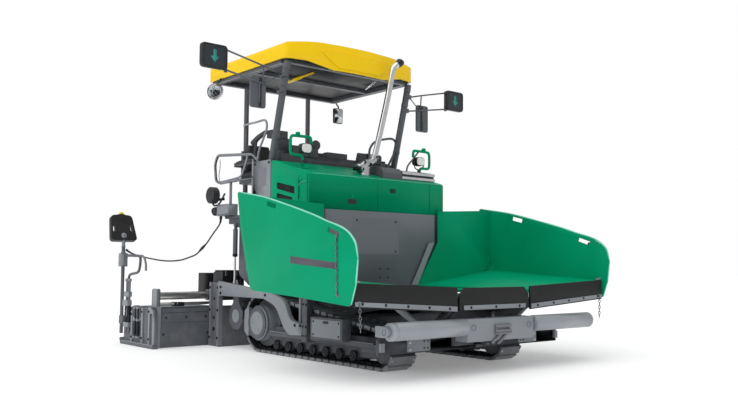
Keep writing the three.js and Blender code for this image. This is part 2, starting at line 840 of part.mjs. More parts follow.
// ---------------------------------------------------------------- push beam and rollers
const beamBack = beamPivotX + 30;
function pushBeam() {
  const axleX = noseX - rollerRadius;
  const block = plateZ(
    [
      [beamBack, -1],
      [beamBack, 452, 30],
      [noseX - 45, 452, 10],
      [noseX - 45, -1],
    ],
    290,
    488,
  );
  const armPlan = [
    [beamBack, 440],
    [beamBack + 50, 440],
    [beamBack + 45, rollerOuter + 40],
    [beamBack + 20, rollerOuter + 40],
  ];
  const bracket = plateY(
    [
      [beamBack + 20, rollerZ - 45],
      [axleX, rollerZ - 45, 30],
      [axleX + 50, rollerZ, 30],
      [axleX, rollerZ + 45, 30],
      [beamBack + 20, rollerZ + 45],
    ],
    rollerOuter + 10,
    rollerOuter + 40,
  );
  const pivot = rod([beamPivotX, 0, beamPinLow], [beamPivotX, 0, beamPinHigh], 38, 16);
  const neck = box(beamPivotX, beamBack + 20, -1, 60, beamPinLow + 60, beamPinHigh - 10);
  return join(both(join(block, plateZ(armPlan, rollerZ - 35, rollerZ + 35), bracket, neck)), pivot);
}
function pushRoller() {
  const x = noseX - rollerRadius;
  return join(
    rod([x, rollerInner, rollerZ], [x, rollerOuter, rollerZ], rollerRadius, 24),
    rod([x, 452 + pinGap, rollerZ], [x, rollerOuter + 10 - pinGap, rollerZ], 24, 10),
  );
}
add("push_beam", pushBeam(), grey);
addPair("push_roller", pushRoller(), grey);

// ---------------------------------------------------------------- augers
function augerCase() {
  const plate = [
    [augerX - 60, augerZ - 150],
    [augerX + 60, augerZ - 150],
    [augerX + 140, augerZ - 60],
    [augerX + 140, augerZ + 60],
    [augerX + 60, augerZ + 150],
    [augerX + 60, augerZ + 240],
    [augerX - 60, augerZ + 240],
    [augerX - 60, augerZ + 150],
    [augerX - 140, augerZ + 60],
    [augerX - 140, augerZ - 60],
  ];
  const beamLow = augerZ + augerRadius + 20;
  return both(
    join(
      plateY(plate, augerOuter + 6, augerOuter + 20),
      box(augerX - 60, augerX + 60, -1, augerOuter + 10, beamLow, augerZ + 240),
      box(augerX - 70, augerX + 70, -1, augerInner - 12, augerZ - 90, beamLow + 1),
      box(augerX + 59, frameRear - 0.4, frameInner, frameOuter, beamLow + 20, augerZ + 240),
    ),
  );
}
add("auger_case", augerCase(), darkGrey);

// Each ring is the round shaft with the blade's section standing out of it; the rings turn as they go.
function auger() {
  const shaftRadius = 38;
  const bladeHalf = (turn * augerBlade) / augerPitch / 2;
  const start = augerInner + 12;
  const perTurn = 10;
  const count = Math.floor(((augerOuter - start - 12) / augerPitch) * perTurn);
  const section = [
    [-bladeHalf, augerRadius],
    [bladeHalf, augerRadius],
    [bladeHalf * 1.4, shaftRadius],
    [turn * 0.2, shaftRadius],
    [turn * 0.4, shaftRadius],
    [turn * 0.6, shaftRadius],
    [turn * 0.8, shaftRadius],
    [-bladeHalf * 1.4, shaftRadius],
  ];
  const rings = [];
  for (let i = 0; i <= count; i++) {
    const y = start + (augerPitch * i) / perTurn;
    const ring = section.map(([angle, r]) => {
      const at = angle + (turn * i) / perTurn;
      return [augerX + r * Math.sin(at), y, augerZ + r * Math.cos(at)];
    });
    rings.push(ring);
  }
  const end = start + (augerPitch * count) / perTurn;
  const stub = (from, to) => rod([augerX, from, augerZ], [augerX, to, augerZ], shaftRadius - 8, 10);
  return join(
    loft(rings),
    stub(augerInner - 12 + pinGap, start + 5),
    stub(end - 5, augerOuter + 6 - pinGap),
  );
}
addPair("auger", auger(), steel);

// ---------------------------------------------------------------- tow arms and main screed
function towArm() {
  const side = [
    [towX + 55, towZ - 50, 30],
    [towX + 55, towZ + 50, 30],
    [430, 395, 60],
    [330, 590, 90],
    [30, armTop, 60],
    [screedFront + 0.4, armTop + 90],
    [screedFront + 0.4, 590],
    [-60, 590, 60],
    [180, 520, 90],
    [330, 290, 80],
    [430, towZ - 60, 30],
  ];
  const lug = plateY(
    [
      [liftX - 50, armTop + 20],
      [liftX - 25, liftBottom + 25, 15],
      [liftX + 25, liftBottom + 25, 15],
      [liftX + 50, armTop + 20],
    ],
    armInner,
    armInner + 12,
  );
  return join(plateY(side, armInner, armInner + armPlate), lug);
}
addPair("tow_arm", towArm(), grey);

function mainScreed() {
  const housing = 65;
  const half = join(
    box(screedBack, screedFront, -1, screedHalf, 0, screedTop),
    box(screedBack, screedFront, screedHalf - 25, screedHalf + 20, 0, 740),
    box(screedBack + 10, screedFront - 30, 640, screedHalf - 24, 620, 860),
    box(screedBack + 20, screedFront - 60, 500, 560, screedTop - 1, 640),
    box(screedBack + 20, screedFront - 60, 560, screedHalf - 20, 600, 640),
    box(guideX - housing, guideX + housing, -1, screedHalf - 15, guideZ - housing, guideZ + housing),
    box(guideX + housing - 1, screedBack + 60, -1, 560, guideZ - 40, guideZ + 40),
    box(screedBack, screedBack + 60, 100, 180, screedTop - 1, guideZ),
    box(tailX, guideX - housing + 1, -1, 880, walkwayZ + 30, walkwayZ + 30 + walkwayPlate),
  );
  const bore = rod([guideX, -screedHalf - 40, guideZ], [guideX, screedHalf + 40, guideZ], guideRadius + guideClear, 24);
  return cut(both(half), bore);
}
add("main_screed", mainScreed(), darkGrey);

// ---------------------------------------------------------------- screed lift cylinders
const liftY = armInner + 28;
function liftBarrel() {
  const bottom = liftTop - liftBarrelLength;
  const eyeInner = tankOuter + liftLug + pinGap;
  const shell = join(
    rod([liftX, liftY, liftTop - 50], [liftX, liftY, bottom], liftRadius, 16),
    rod([liftX, eyeInner, liftTop], [liftX, liftY + 14, liftTop], 24, 14),
    box(liftX - 14, liftX + 14, eyeInner, liftY + 12, liftTop - 52, liftTop),
  );
  return cut(shell, rod([liftX, liftY, liftTop - 75], [liftX, liftY, bottom - 5], liftRod + 5, 12));
}
function liftPiston() {
  const eyeInner = armInner + 12 + pinGap;
  return join(
    rod([liftX, liftY, liftBottom], [liftX, liftY, liftTop - liftBarrelLength + 40], liftRod, 12),
    rod([liftX, eyeInner, liftBottom], [liftX, liftY + 12, liftBottom], 15, 14),
  );
}
addPair("lift_cylinder", liftBarrel(), darkGrey);
addPair("lift_cylinder_rod", liftPiston(), steel);

// ---------------------------------------------------------------- screed extensions
const guideInner = 760;
function extension() {
  const bracket = box(guideX - 70, guideX + 70, extensionOuter - 40, extensionOuter, screedTop - 1, guideZ + 70);
  return join(
    box(extensionBack, extensionFront, extensionInner, extensionOuter, 0, screedTop),
    bracket,
    rod([guideX, guideInner, guideZ], [guideX, extensionOuter - 10, guideZ], guideRadius, 24),
  );
}
addPair("screed_extension", extension(), darkGrey);

const gateFront = -1200;
const gateRear = -2060;
const postX = -2105;
const postTop = 1150;
const gateOuter = gateInner + gatePlate;
function endGate() {
  const side = [
    [gateFront - 20, 0],
    [gateRear, 0],
    [gateRear, 400, 60],
    [extensionBack - 60, 470, 60],
    [gateFront - 60, 430, 60],
    [gateFront - 20, 300],
  ];
  const ski = plateY(
    [
      [gateFront, 0],
      [gateRear - 20, 0],
      [gateRear - 50, 60],
      [gateRear - 30, 75],
      [gateRear, 34],
      [gateFront, 34],
    ],
    gateInner,
    gateOuter + 35,
  );
  const mid = gateInner + 45;
  return join(
    plateY(side, gateInner, gateOuter),
    ski,
    box(extensionBack + 60, extensionFront - 60, extensionOuter + 0.4, gateInner + 1, 120, 380),
    box(postX - 20, gateRear + 40, gateInner, gateInner + 70, 240, 330),
    rod([postX, mid, 120], [postX, mid, postTop], 21, 12),
    tube(
      [
        [-1930, mid, 380],
        [-1930, mid, 820],
        [-1640, mid, 850],
        [-1600, mid, 1040],
        [postX, mid, 1050],
      ],
      16,
      70,
    ),
    box(-1955, -1905, gateInner, mid + 16, 330, 420),
  );
}
addPair("end_gate", endGate(), grey);

const panelTilt = 0.35;
function consolePanel() {
  const mid = gateInner + 45;
  const low = postTop + 0.4;
  const shape = [
    [mid - 165, 0, 40],
    [mid + 165, 0, 40],
    [mid + 130, 330, 40],
    [mid + 40, 340],
    [mid - 40, 340],
    [mid - 130, 330, 40],
  ];
  const toX = new THREE.Matrix4().makeBasis(
    new THREE.Vector3(0, 1, 0),
    new THREE.Vector3(0, 0, 1),
    new THREE.Vector3(1, 0, 0),
  );
  const panel = solid(
    extrude(shape, 60).applyMatrix4(toX).translate(-30, 0, 0).rotateY(-panelTilt).translate(postX, 0, low + 70),
  );
  const neck = rod([postX, mid, low], [postX, mid, low + 140], 28, 12);
  return join(panel, neck);
}
addPair("console_panel", consolePanel(), black);

// ---------------------------------------------------------------- the right console's cable
// It hangs from the gland under the box beside the platform to the console post, in two lengths
// with an in-line connector.
const cordRadius = 9;
const cordStep = 45;
const cordUpper = [
  [-1046, -928, 1489.4],
  [-1050, -931, 1440],
  [-1068, -944, 1395],
  [-1106, -970, 1335],
  [-1150, -1000, 1262],
  [-1188, -1026, 1197],
  [-1202, -1036, 1180],
];
const cordLower = [
  [-1266, -1081, 1100],
  [-1283, -1093, 1079],
  [-1318, -1117, 1052],
  [-1375, -1155, 1028],
  [-1448, -1206, 1000],
  [-1520, -1256, 988],
  [-1596, -1309, 985],
  [-1668, -1359, 990],
  [-1745, -1412, 1003],
  [-1822, -1466, 1019],
  [-1898, -1519, 1038],
  [-1972, -1570, 1062],
  [-2028, -1609, 1090],
  [-2062, -1633, 1118],
];
function connector() {
  const [from, to] = [cordUpper[cordUpper.length - 1], cordLower[0]];
  const start = new THREE.Vector3(...from);
  const along = new THREE.Vector3(...to).sub(start);
  const at = (t) => start.clone().addScaledVector(along, t).toArray();
  return join(rod(at(0.005), at(0.993), 15, 12), rod(at(0.4), at(0.6), 18, 12));
}
add("console_cable_upper", cord(cordUpper, cordRadius, cordStep), rubber);
add("console_cable_lower", cord(cordLower, cordRadius, cordStep), rubber);
add("console_cable_connector", connector(), black);

// ---------------------------------------------------------------- roof
function roofCanopy() {
  const shoulder = 45;
  const arch = (inset) => [
    [-roofHalf + inset, roofBottom - (inset ? 1 : 0)],
    [roofHalf - inset, roofBottom - (inset ? 1 : 0)],
    [roofHalf - inset, roofTop - shoulder - inset, inset ? 0 : 40],
    [roofHalf - 330, roofTop - inset, 120],
    [-roofHalf + 330, roofTop - inset, 120],
    [-roofHalf + inset, roofTop - shoulder - inset, inset ? 0 : 40],
  ];
  const plan = (inset) => [
    [roofRear + inset, -roofHalf + inset, 60],
    [roofFront - 90 - inset, -roofHalf + inset, 80],
    [roofFront - inset, -480],
    [roofFront + 60 - inset, 0, 300],
    [roofFront - inset, 480],
    [roofFront - 90 - inset, roofHalf - inset, 80],
    [roofRear + inset, roofHalf - inset, 60],
  ];
  const outer = plateX(arch(0), roofRear - 5, roofFront + 80).intersect(
    plateZ(plan(0), roofBottom - 5, roofTop + 5),
  );
  const inner = plateX(arch(roofShell), roofRear - 5, roofFront + 80).intersect(
    plateZ(plan(roofShell), roofBottom - 5, roofTop + 5),
  );
  return cut(outer, inner);
}
add("roof_canopy", roofCanopy(), yellow);

const hoopTop = 3180;
function roofFrame() {
  const [topX, postFrontY, topZ] = postFrontTop;
  const baseX = topX - (topZ - floorZ) * postLean;
  const [rearX, rearY] = rearPost;
  const barOuter = roofHalf - roofShell - 0.4;
  const foot = floorZ - 30;
  const side = join(
    rod([baseX - 30 * postLean, postFrontY, foot], [topX, postFrontY, topZ], postRadius, 20),
    rod([rearX, rearY, foot], [rearX, rearY, topZ], postRadius, 12),
    box(rearX - 20, topX - 16, barOuter - 85, barOuter - 35, topZ - 10, hoopTop),
    box(rearX - 20, topX - 90, barOuter - 36, barOuter, topZ - 10, hoopTop),
    box(topX - 66, topX - 16, -1, barOuter - 35, topZ - 10, hoopTop),
    box(rearX - 20, rearX + 40, -1, barOuter - 1, topZ - 10, hoopTop),
    box(-560, -500, -1, barOuter - 1, topZ - 5, hoopTop),
  );
  const floorCut = box(tailboardRear, hoodFront, -hoodHalf, hoodHalf, foot - 50, floorZ);
  return cut(both(side), floorCut);
}
add("roof_frame", roofFrame(), darkGrey);

// ---------------------------------------------------------------- lights, mirrors, exhaust
const lightAt = [157, 1724, 3030];
const lightHalf = 150;
function signalLight() {
  const [x, y, z] = lightAt;
  const armRoot = postFrontTop[1] + postRadius + 0.4;
  return join(
    box(x - 30, x + 25, y - lightHalf, y + lightHalf, z - lightHalf, z + lightHalf),
    rod([x + 20, armRoot, 3010], [x, y - lightHalf + 10, z + 50], 12, 10),
    rod([x - 30, armRoot, 2930], [x, y - lightHalf + 10, z - 60], 12, 10),
    rod([x - 12, 1110, 2910], [x + 12, 1110, 3060], 11, 10),
    box(x - 40, x + 45, armRoot, armRoot + 24, 2890, 3050),
    rod([x, 1180, 2640], [x, 1180, 3000], 9, 10),
    box(x - 50, x - 14, 1090, 1280, 2590, 2920),
    box(x - 15, x + 10, 1160, 1200, 2700, 2800),
  );
}
addPair("signal_light", signalLight(), black);

const lampAt = [520, 815, 2160];
function workLamp() {
  const [x, y] = lampAt;
  const foot = hoodZ(x - 75) + 0.4;
  const guard = [
    [x - 60, y + 20, foot],
    [x - 60, y + 20, 2085],
    [x - 60, y + 175, 2085],
    [x - 60, y + 175, 2285],
    [x - 60, y - 85, 2285],
    [x - 60, y - 85, 2205],
  ];
  return join(
    tube(guard, 15, 50),
    box(x - 75, x + 40, y - 30, y + 40, foot + 49, foot + 75),
    rod([x, y, foot + 60], [x, y, 2120], 14, 8),
    rod([x - 50, y, 2160], [x + 35, y, 2160], 62, 16),
  );
}
addPair("work_lamp", workLamp(), green);

function exhaust() {
  const stack = [
    [exhaustX, exhaustY, 2010],
    [exhaustX, 72, 2080],
    [exhaustX, 370, 3165],
    [exhaustX, 480, 3290],
  ];
  const base = rod([exhaustX, exhaustY, engineTop + 0.4], [exhaustX, exhaustY, 2050], exhaustBase, 16);
  return join(tube(stack, 38, 50, 14), base);
}
add("exhaust_pipe", exhaust(), steel);

export default machine;
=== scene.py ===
# A compact tracked asphalt paver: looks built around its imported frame, in metres, +X in travel, +Y left, +Z up.
import json
import math
import bmesh
import bpy
from mathutils import Matrix, Vector

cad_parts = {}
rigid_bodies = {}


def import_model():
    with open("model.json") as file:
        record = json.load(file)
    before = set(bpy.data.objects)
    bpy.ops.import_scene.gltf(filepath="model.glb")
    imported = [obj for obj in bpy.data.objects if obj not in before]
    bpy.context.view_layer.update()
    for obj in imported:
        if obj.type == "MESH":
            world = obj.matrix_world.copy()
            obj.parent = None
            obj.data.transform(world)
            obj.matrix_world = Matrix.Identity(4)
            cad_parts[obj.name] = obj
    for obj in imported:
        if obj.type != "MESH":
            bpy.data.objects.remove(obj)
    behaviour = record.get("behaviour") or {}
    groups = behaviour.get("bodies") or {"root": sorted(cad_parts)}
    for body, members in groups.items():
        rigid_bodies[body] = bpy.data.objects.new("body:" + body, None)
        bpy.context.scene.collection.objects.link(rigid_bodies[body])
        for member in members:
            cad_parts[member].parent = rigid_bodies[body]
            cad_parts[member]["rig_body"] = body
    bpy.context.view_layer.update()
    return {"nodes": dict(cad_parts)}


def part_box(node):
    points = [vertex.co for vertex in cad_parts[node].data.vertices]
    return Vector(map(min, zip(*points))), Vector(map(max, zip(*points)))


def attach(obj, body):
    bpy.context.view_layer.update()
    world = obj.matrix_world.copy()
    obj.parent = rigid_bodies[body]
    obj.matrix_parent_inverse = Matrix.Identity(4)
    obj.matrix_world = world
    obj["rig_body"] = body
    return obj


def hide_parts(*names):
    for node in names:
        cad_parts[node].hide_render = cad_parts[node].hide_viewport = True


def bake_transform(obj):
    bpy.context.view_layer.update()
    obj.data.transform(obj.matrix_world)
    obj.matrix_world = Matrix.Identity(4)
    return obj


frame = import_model()
nodes = frame["nodes"]

# ---------------------------------------------------------------- camera
# A person's low viewpoint off the right front corner, tipped up a little, with a normal lens on a
# full-frame sensor.
yaw, pitch, roll = math.radians(50.109), math.radians(3.974), math.radians(0.382)
ahead = Vector((-math.sin(yaw) * math.cos(pitch), math.cos(yaw) * math.cos(pitch), math.sin(pitch)))
level = Vector((math.cos(yaw), math.sin(yaw), 0))
upward = level.cross(ahead)
across = level * math.cos(roll) + upward * math.sin(roll)
upright = upward * math.cos(roll) - level * math.sin(roll)
camera = bpy.data.objects.new("camera", bpy.data.cameras.new("camera"))
camera.data.lens = 39.72
camera.data.sensor_width = 36
camera.data.clip_end = 200
camera.matrix_world = Matrix((across, upright, -ahead)).transposed().to_4x4()
camera.location = (7.35, -5.692, 0.97)
in_scene = bpy.context.scene.collection.objects
in_scene.link(camera)
bpy.context.scene.camera = camera


# ---------------------------------------------------------------- right console's cable
# One 18 mm control cable in a moulded polyurethane sleeve feeds the screed operator's console. It hangs
# from a gland under the box beside the platform, through an in-line connector, to the console's post.
def linear(hexed):
    """An sRGB hex colour as the linear values that shaders take."""
    parts = [int(hexed[i : i + 2], 16) / 255 for i in (1, 3, 5)]
    return tuple(c / 12.92 if c <= 0.04045 else ((c + 0.055) / 1.055) ** 2.4 for c in parts) + (1,)


def put(tree, kind, inputs=None, **settings):
    """Adds a node with its settings; a socket among the inputs is linked and a value is set."""
    made = tree.nodes.new(kind)
    for name, value in settings.items():
        setattr(made, name, value)
    for name, value in (inputs or {}).items():
        if isinstance(value, bpy.types.NodeSocket):
            tree.links.new(value, made.inputs[name])
        else:
            made.inputs[name].default_value = value
    return made


def started(name, slot):
    """A new material for one of the record's slots: its tree, its shader and the place on the piece."""
    made = bpy.data.materials.new(name)
    made.use_nodes = True
    made["slot"] = slot
    tree = made.node_tree
    return made, tree, tree.nodes["Principled BSDF"], put(tree, "ShaderNodeTexCoord").outputs["Object"]


def speckle(tree, place, size_mm, detail=2.0, stretch=(1, 1, 1)):
    """Noise whose blobs are about size_mm across; stretch draws them out along an axis."""
    where = put(tree, "ShaderNodeMapping", {"Vector": place, "Scale": tuple(1 / s for s in stretch)})
    inputs = {"Vector": where.outputs[0], "Scale": 1000 / size_mm, "Detail": detail}
    return put(tree, "ShaderNodeTexNoise", inputs).outputs[0]


def spread(tree, value, low, high, to_low=0.0, to_high=1.0):
    """A value's range from low to high drawn out to another range, and held at its ends."""
    return put(tree, "ShaderNodeMapRange", {0: value, 1: low, 2: high, 3: to_low, 4: to_high}).outputs[0]


def between(tree, share, first, second):
    """Two colours, hex or sockets, mixed by a share."""
    mix = put(tree, "ShaderNodeMix", {0: share}, data_type="RGBA")
    for socket, colour in ((mix.inputs[6], first), (mix.inputs[7], second)):
        if isinstance(colour, bpy.types.NodeSocket):
            tree.links.new(colour, socket)
        else:
            socket.default_value = linear(colour)
    return mix.outputs[2]


def bumped(tree, shader, height, depth_mm, strength=1.0):
    """Stands a pattern out of the surface by depth_mm."""
    inputs = {"Height": height, "Distance": depth_mm / 1000, "Strength": strength}
    tree.links.new(put(tree, "ShaderNodeBump", inputs).outputs[0], shader.inputs["Normal"])


def constants(shader, values):
    """The sockets that are the same all over a piece."""
    for socket, value in values.items():
        shader.inputs[socket].default_value = value


def moulded(name, slot, colour, shade, rough, grain_mm, depth_mm):
    """Plastic or rubber from a mould: one colour right through, with the fine grain of the tool."""
    made, tree, shader, place = started(name, slot)
    patches = spread(tree, speckle(tree, place, 120, 3), 0.35, 0.65)
    tree.links.new(between(tree, patches, colour, shade), shader.inputs["Base Color"])
    grain = speckle(tree, place, grain_mm, 3)
    tree.links.new(spread(tree, grain, 0.3, 0.7, rough - 0.06, rough + 0.08), shader.inputs["Roughness"])
    shader.inputs["IOR"].default_value = 1.5
    bumped(tree, shader, grain, depth_mm, 0.7)
    return made


# Polyurethane leaves the extruder with a dull satin skin; glass-filled nylon comes grained and darker.
sleeve_polyurethane = moulded("extruded_cable_polyurethane", "cable_rubber", "#3C3E43", "#33353A", 0.5, 2.0, 0.04)
black_nylon = moulded("moulded_black_nylon", "black_plastic", "#232427", "#1B1C1F", 0.5, 1.6, 0.06)


def smooth(points, steps=6):
    """A smooth curve through every point."""
    points = [Vector(p) for p in points]
    ends = [points[0] * 2 - points[1], *points, points[-1] * 2 - points[-2]]
    line = []
    for a, b, c, d in zip(ends, ends[1:], ends[2:], ends[3:]):
        for t in (s / steps for s in range(steps)):
            first, second, third = c - a, 2 * a - 5 * b + 4 * c - d, 3 * b - a - 3 * c + d
            line.append(0.5 * (2 * b + first * t + second * t * t + third * t ** 3))
    return line + [points[-1]]


def rings(corners, sides):
    """The faces of a closed skin over rings of corners, with a cap at each end."""
    last = len(corners) - sides
    faces = [tuple(range(sides - 1, -1, -1)), tuple(range(last, last + sides))]
    for start in range(0, last, sides):
        for i in range(sides):
            j = (i + 1) % sides
            faces.append((start + i, start + j, start + sides + j, start + sides + i))
    return corners, faces


def tube(line, radius, sides=12):
    """A round section carried along a line; the radius is a number or a function of the share run."""
    line = [Vector(p) for p in line]
    corners = []
    side = (line[1] - line[0]).orthogonal().normalized()
    for n, at in enumerate(line):
        heading = (line[min(n + 1, len(line) - 1)] - line[max(n - 1, 0)]).normalized()
        side = (side - heading * side.dot(heading)).normalized()
        other = heading.cross(side)
        size = radius(n / (len(line) - 1)) if callable(radius) else radius
        for turn in (math.tau * i / sides for i in range(sides)):
            corners.append(tuple(at + (side * math.cos(turn) + other * math.sin(turn)) * size))
    return rings(corners, sides)


def spun(start, end, profile, sides=24):
    """A turned piece on the line from start to end; the profile is (distance along, radius) pairs."""
    start, end = Vector(start), Vector(end)
    line = (end - start).normalized()
    side = line.orthogonal().normalized()
    other = line.cross(side)
    corners = []
    for along, radius in profile:
        for turn in (math.tau * i / sides for i in range(sides)):
            spoke = side * math.cos(turn) + other * math.sin(turn)
            corners.append(tuple(start + line * along + spoke * radius))
    return rings(corners, sides)


def soften(made, material, ease, sharp=35):
    """Gives an object its finish, smooth shading and edges eased by a small radius."""
    made.data.materials.clear()
    made.data.materials.append(material)
    for face in made.data.polygons:
        face.use_smooth = True
        face.material_index = 0
    if ease:
        edges = made.modifiers.new("eased edges", "BEVEL")
        edges.width = ease
        edges.segments = 2
        edges.limit_method = "ANGLE"
        edges.angle_limit = math.radians(sharp)
        edges.use_clamp_overlap = True
        edges.harden_normals = True


def joined(shapes):
    """Several shapes, each a pair of corners and faces, as one."""
    corners, faces = [], []
    for more, their_faces in shapes:
        base = len(corners)
        corners += more
        faces += [tuple(base + i for i in face) for face in their_faces]
    return corners, faces


def piece(name, shapes, material, body="root", ease=0.002, sharp=35):
    """One named object from shapes, with eased edges and a finish, riding on a body."""
    corners, faces = joined(shapes)
    mesh = bpy.data.meshes.new(name)
    mesh.from_pydata(corners, [], faces)
    shell = bmesh.new()
    shell.from_mesh(mesh)
    bmesh.ops.recalc_face_normals(shell, faces=shell.faces)
    shell.to_mesh(mesh)
    shell.free()
    made = bpy.data.objects.new(name, mesh)
    in_scene.link(made)
    soften(made, material, ease, sharp)
    if body:
        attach(made, body)
    return made


def run_of(line):
    return sum((b - a).length for a, b in zip(line, line[1:]))


cable = 0.018
hanging = smooth([
    (-1.046, -0.928, 1.4894), (-1.05, -0.931, 1.44), (-1.068, -0.944, 1.395), (-1.106, -0.97, 1.335),
    (-1.15, -1.0, 1.262), (-1.188, -1.026, 1.197), (-1.202, -1.036, 1.18),
])
swung = smooth([
    (-1.266, -1.081, 1.1), (-1.283, -1.093, 1.079), (-1.318, -1.117, 1.052), (-1.375, -1.155, 1.028),
    (-1.448, -1.206, 1.0), (-1.52, -1.256, 0.988), (-1.596, -1.309, 0.985), (-1.668, -1.359, 0.99),
    (-1.745, -1.412, 1.003), (-1.822, -1.466, 1.019), (-1.898, -1.519, 1.038), (-1.972, -1.57, 1.062),
    (-2.028, -1.609, 1.09), (-2.062, -1.633, 1.118),
], 3)
coupling = run_of([hanging[-1], swung[0]])
grip = [(0, 0.0095), (0.012, 0.0125), (0.03, 0.0145), (0.042, 0.0145), (0.045, 0.0172), (0.062, 0.0172),
        (0.064, 0.0145), (coupling - 0.03, 0.0145), (coupling - 0.012, 0.0125), (coupling, 0.0095)]
connector = piece("cable_coupling", [spun(hanging[-1], swung[0], grip)], black_nylon, "screed", 0.0006)
upper = piece("cable_upper", [tube(hanging, cable / 2, 16)], sleeve_polyurethane, None, 0)
lower = piece("cable_lower", [tube(swung, cable / 2, 16)], sleeve_polyurethane, None, 0)
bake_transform(upper)
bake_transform(lower)
for made, node in ((upper, "upper"), (lower, "lower"), (connector, "connector")):
    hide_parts(f"console_cable_{node}")
relief = lambda share: 0.0155 - 0.0055 * share  # a sleeve that tapers down to the cable
piece("cable_gland", [
    tube(hanging[:9], relief, 16),
    spun(hanging[0] + Vector((0, 0, 0.012)), hanging[0] - Vector((0, 0, 1)), [(0, 0.019), (0.02, 0.019)], 6),
], black_nylon, "root", 0.0008)
piece("cable_post_relief", [tube(swung[:-7:-1], relief, 16)], black_nylon, "screed_extension_right", 0.0008)


# ---------------------------------------------------------------- chassis, tunnel and crossmember
# The frame is welded from 20 to 40 mm plate and sprayed with a dark grey two-pack enamel. A crossmember
# bolted to its front carries the push beam, and a guard plate stands in front of each track.
LEFT, RIGHT = ("left", 1), ("right", -1)
ALONG = {"x": (1, 2, 0), "y": (0, 2, 1), "z": (0, 1, 2)}  # where an outline's two numbers and depth go


def placed(axis, a, b, depth):
    point = [0, 0, 0]
    for spot, value in zip(ALONG[axis], (a, b, depth)):
        point[spot] = value
    return tuple(point)


def rounded(points, steps=4):
    """A closed outline through (a, b) or (a, b, corner radius) points, with its corners rounded."""
    line = []
    for i, point in enumerate(points):
        at = Vector(point[:2])
        radius = point[2] if len(point) > 2 else 0
        if not radius:
            line.append(tuple(at))
            continue
        before = at + (Vector(points[i - 1][:2]) - at).normalized() * radius
        after = at + (Vector(points[(i + 1) % len(points)][:2]) - at).normalized() * radius
        for t in (s / steps for s in range(steps + 1)):
            line.append(tuple(before * (1 - t) ** 2 + at * 2 * t * (1 - t) + after * t * t))
    return line


def plate(axis, points, low, high):
    """An outline with rounded corners, given thickness along an axis."""
    line = rounded(points)
    count = len(line)
    corners = [placed(axis, a, b, depth) for depth in (low, high) for a, b in line]
    faces = [tuple(range(count)), tuple(range(2 * count - 1, count - 1, -1))]
    faces += [(i, i + count, (i + 1) % count + count, (i + 1) % count) for i in range(count)]
    return corners, faces


def panel(axis, a0, a1, b0, b1, low, high, corner=0):
    """A rectangular plate."""
    return plate(axis, [(a0, b0, corner), (a1, b0, corner), (a1, b1, corner), (a0, b1, corner)], low, high)


def bar(x0, x1, y0, y1, z0, z1, corner=0):
    return panel("z", x0, x1, y0, y1, z0, z1, corner)


def post(start, end, radius, sides=24):
    """A round bar with its ends eased."""
    length = (Vector(end) - Vector(start)).length
    ease = min(radius * 0.2, length * 0.2, 0.004)
    profile = [(0, radius - ease), (ease, radius), (length - ease, radius), (length, radius - ease)]
    return spun(start, end, profile, sides)


def bolt(at, toward, size):
    """A hexagon head on its washer; size is across the flats."""
    at, toward = Vector(at), Vector(toward)
    washer = [(0, size * 0.95), (size * 0.12, size * 0.95), (size * 0.14, size * 0.85)]
    head = [(size * 0.1, size * 0.56), (size * 0.6, size * 0.58), (size * 0.7, size * 0.46)]
    return joined([spun(at, at + toward, washer, 16), spun(at, at + toward, head, 6)])


def on_side(shape, g):
    """The shape itself on the left, g 1, or its mirror image on the right, g -1."""
    corners, faces = shape
    return [(x, y * g, z) for x, y, z in corners], faces


def sided(shapes, g):
    return [on_side(shape, g) for shape in shapes]


def both_sides(shapes):
    return [on_side(s, g) for s in shapes for g in (1, -1)]


def dress(node, material, ease=0.002):
    """A carried-over CAD piece keeps its shape and gets a finish and eased edges."""
    made = nodes[node]
    weld = made.modifiers.new("one skin", "WELD")
    weld.merge_threshold = 1e-5
    soften(made, material, ease)


def enamel(name, slot, colour, shade, rough, coat=0.0, dusty=0.25, shine=0.5):
    """Sprayed and baked enamel on sheet steel: a smooth film with a faint orange peel 6 mm across, a
    slow drift in its tone, and a film of road dust that thins out by the height of the tracks."""
    made, tree, shader, place = started(name, slot)
    tone = between(tree, spread(tree, speckle(tree, place, 700), 0.35, 0.65), colour, shade)
    low_down = spread(tree, put(tree, "ShaderNodeSeparateXYZ", {0: place}).outputs[2], 0.75, 0.05)
    patches = spread(tree, speckle(tree, place, 90, 5), 0.42, 0.68, 0, dusty)
    film = put(tree, "ShaderNodeMath", {0: low_down, 1: patches}, operation="MULTIPLY").outputs[0]
    tree.links.new(between(tree, film, tone, "#8C8A84"), shader.inputs["Base Color"])
    worn = spread(tree, speckle(tree, place, 160, 4), 0.3, 0.7, rough - 0.05, rough + 0.07)
    dulled = put(tree, "ShaderNodeMath", {0: worn, 1: film}, operation="ADD").outputs[0]
    tree.links.new(dulled, shader.inputs["Roughness"])
    constants(shader, {"Coat Weight": coat, "Coat Roughness": 0.08, "Specular IOR Level": shine})
    bumped(tree, shader, speckle(tree, place, 6), 0.012, 0.4)
    return made


def bare_metal(name, slot, colour, shade, rough, grain_mm, depth_mm, stretch=(1, 1, 1)):
    """Unpainted metal: its own colour with darker patches, and the grain that casting, rolling,
    grinding or plating left in it."""
    made, tree, shader, place = started(name, slot)
    patches = spread(tree, speckle(tree, place, 60, 4), 0.35, 0.65)
    tree.links.new(between(tree, patches, colour, shade), shader.inputs["Base Color"])
    shader.inputs["Metallic"].default_value = 1.0
    grain = speckle(tree, place, grain_mm, 3, stretch)
    tree.links.new(spread(tree, grain, 0.3, 0.7, rough - 0.06, rough + 0.08), shader.inputs["Roughness"])
    bumped(tree, shader, grain, depth_mm, 0.6)
    return made


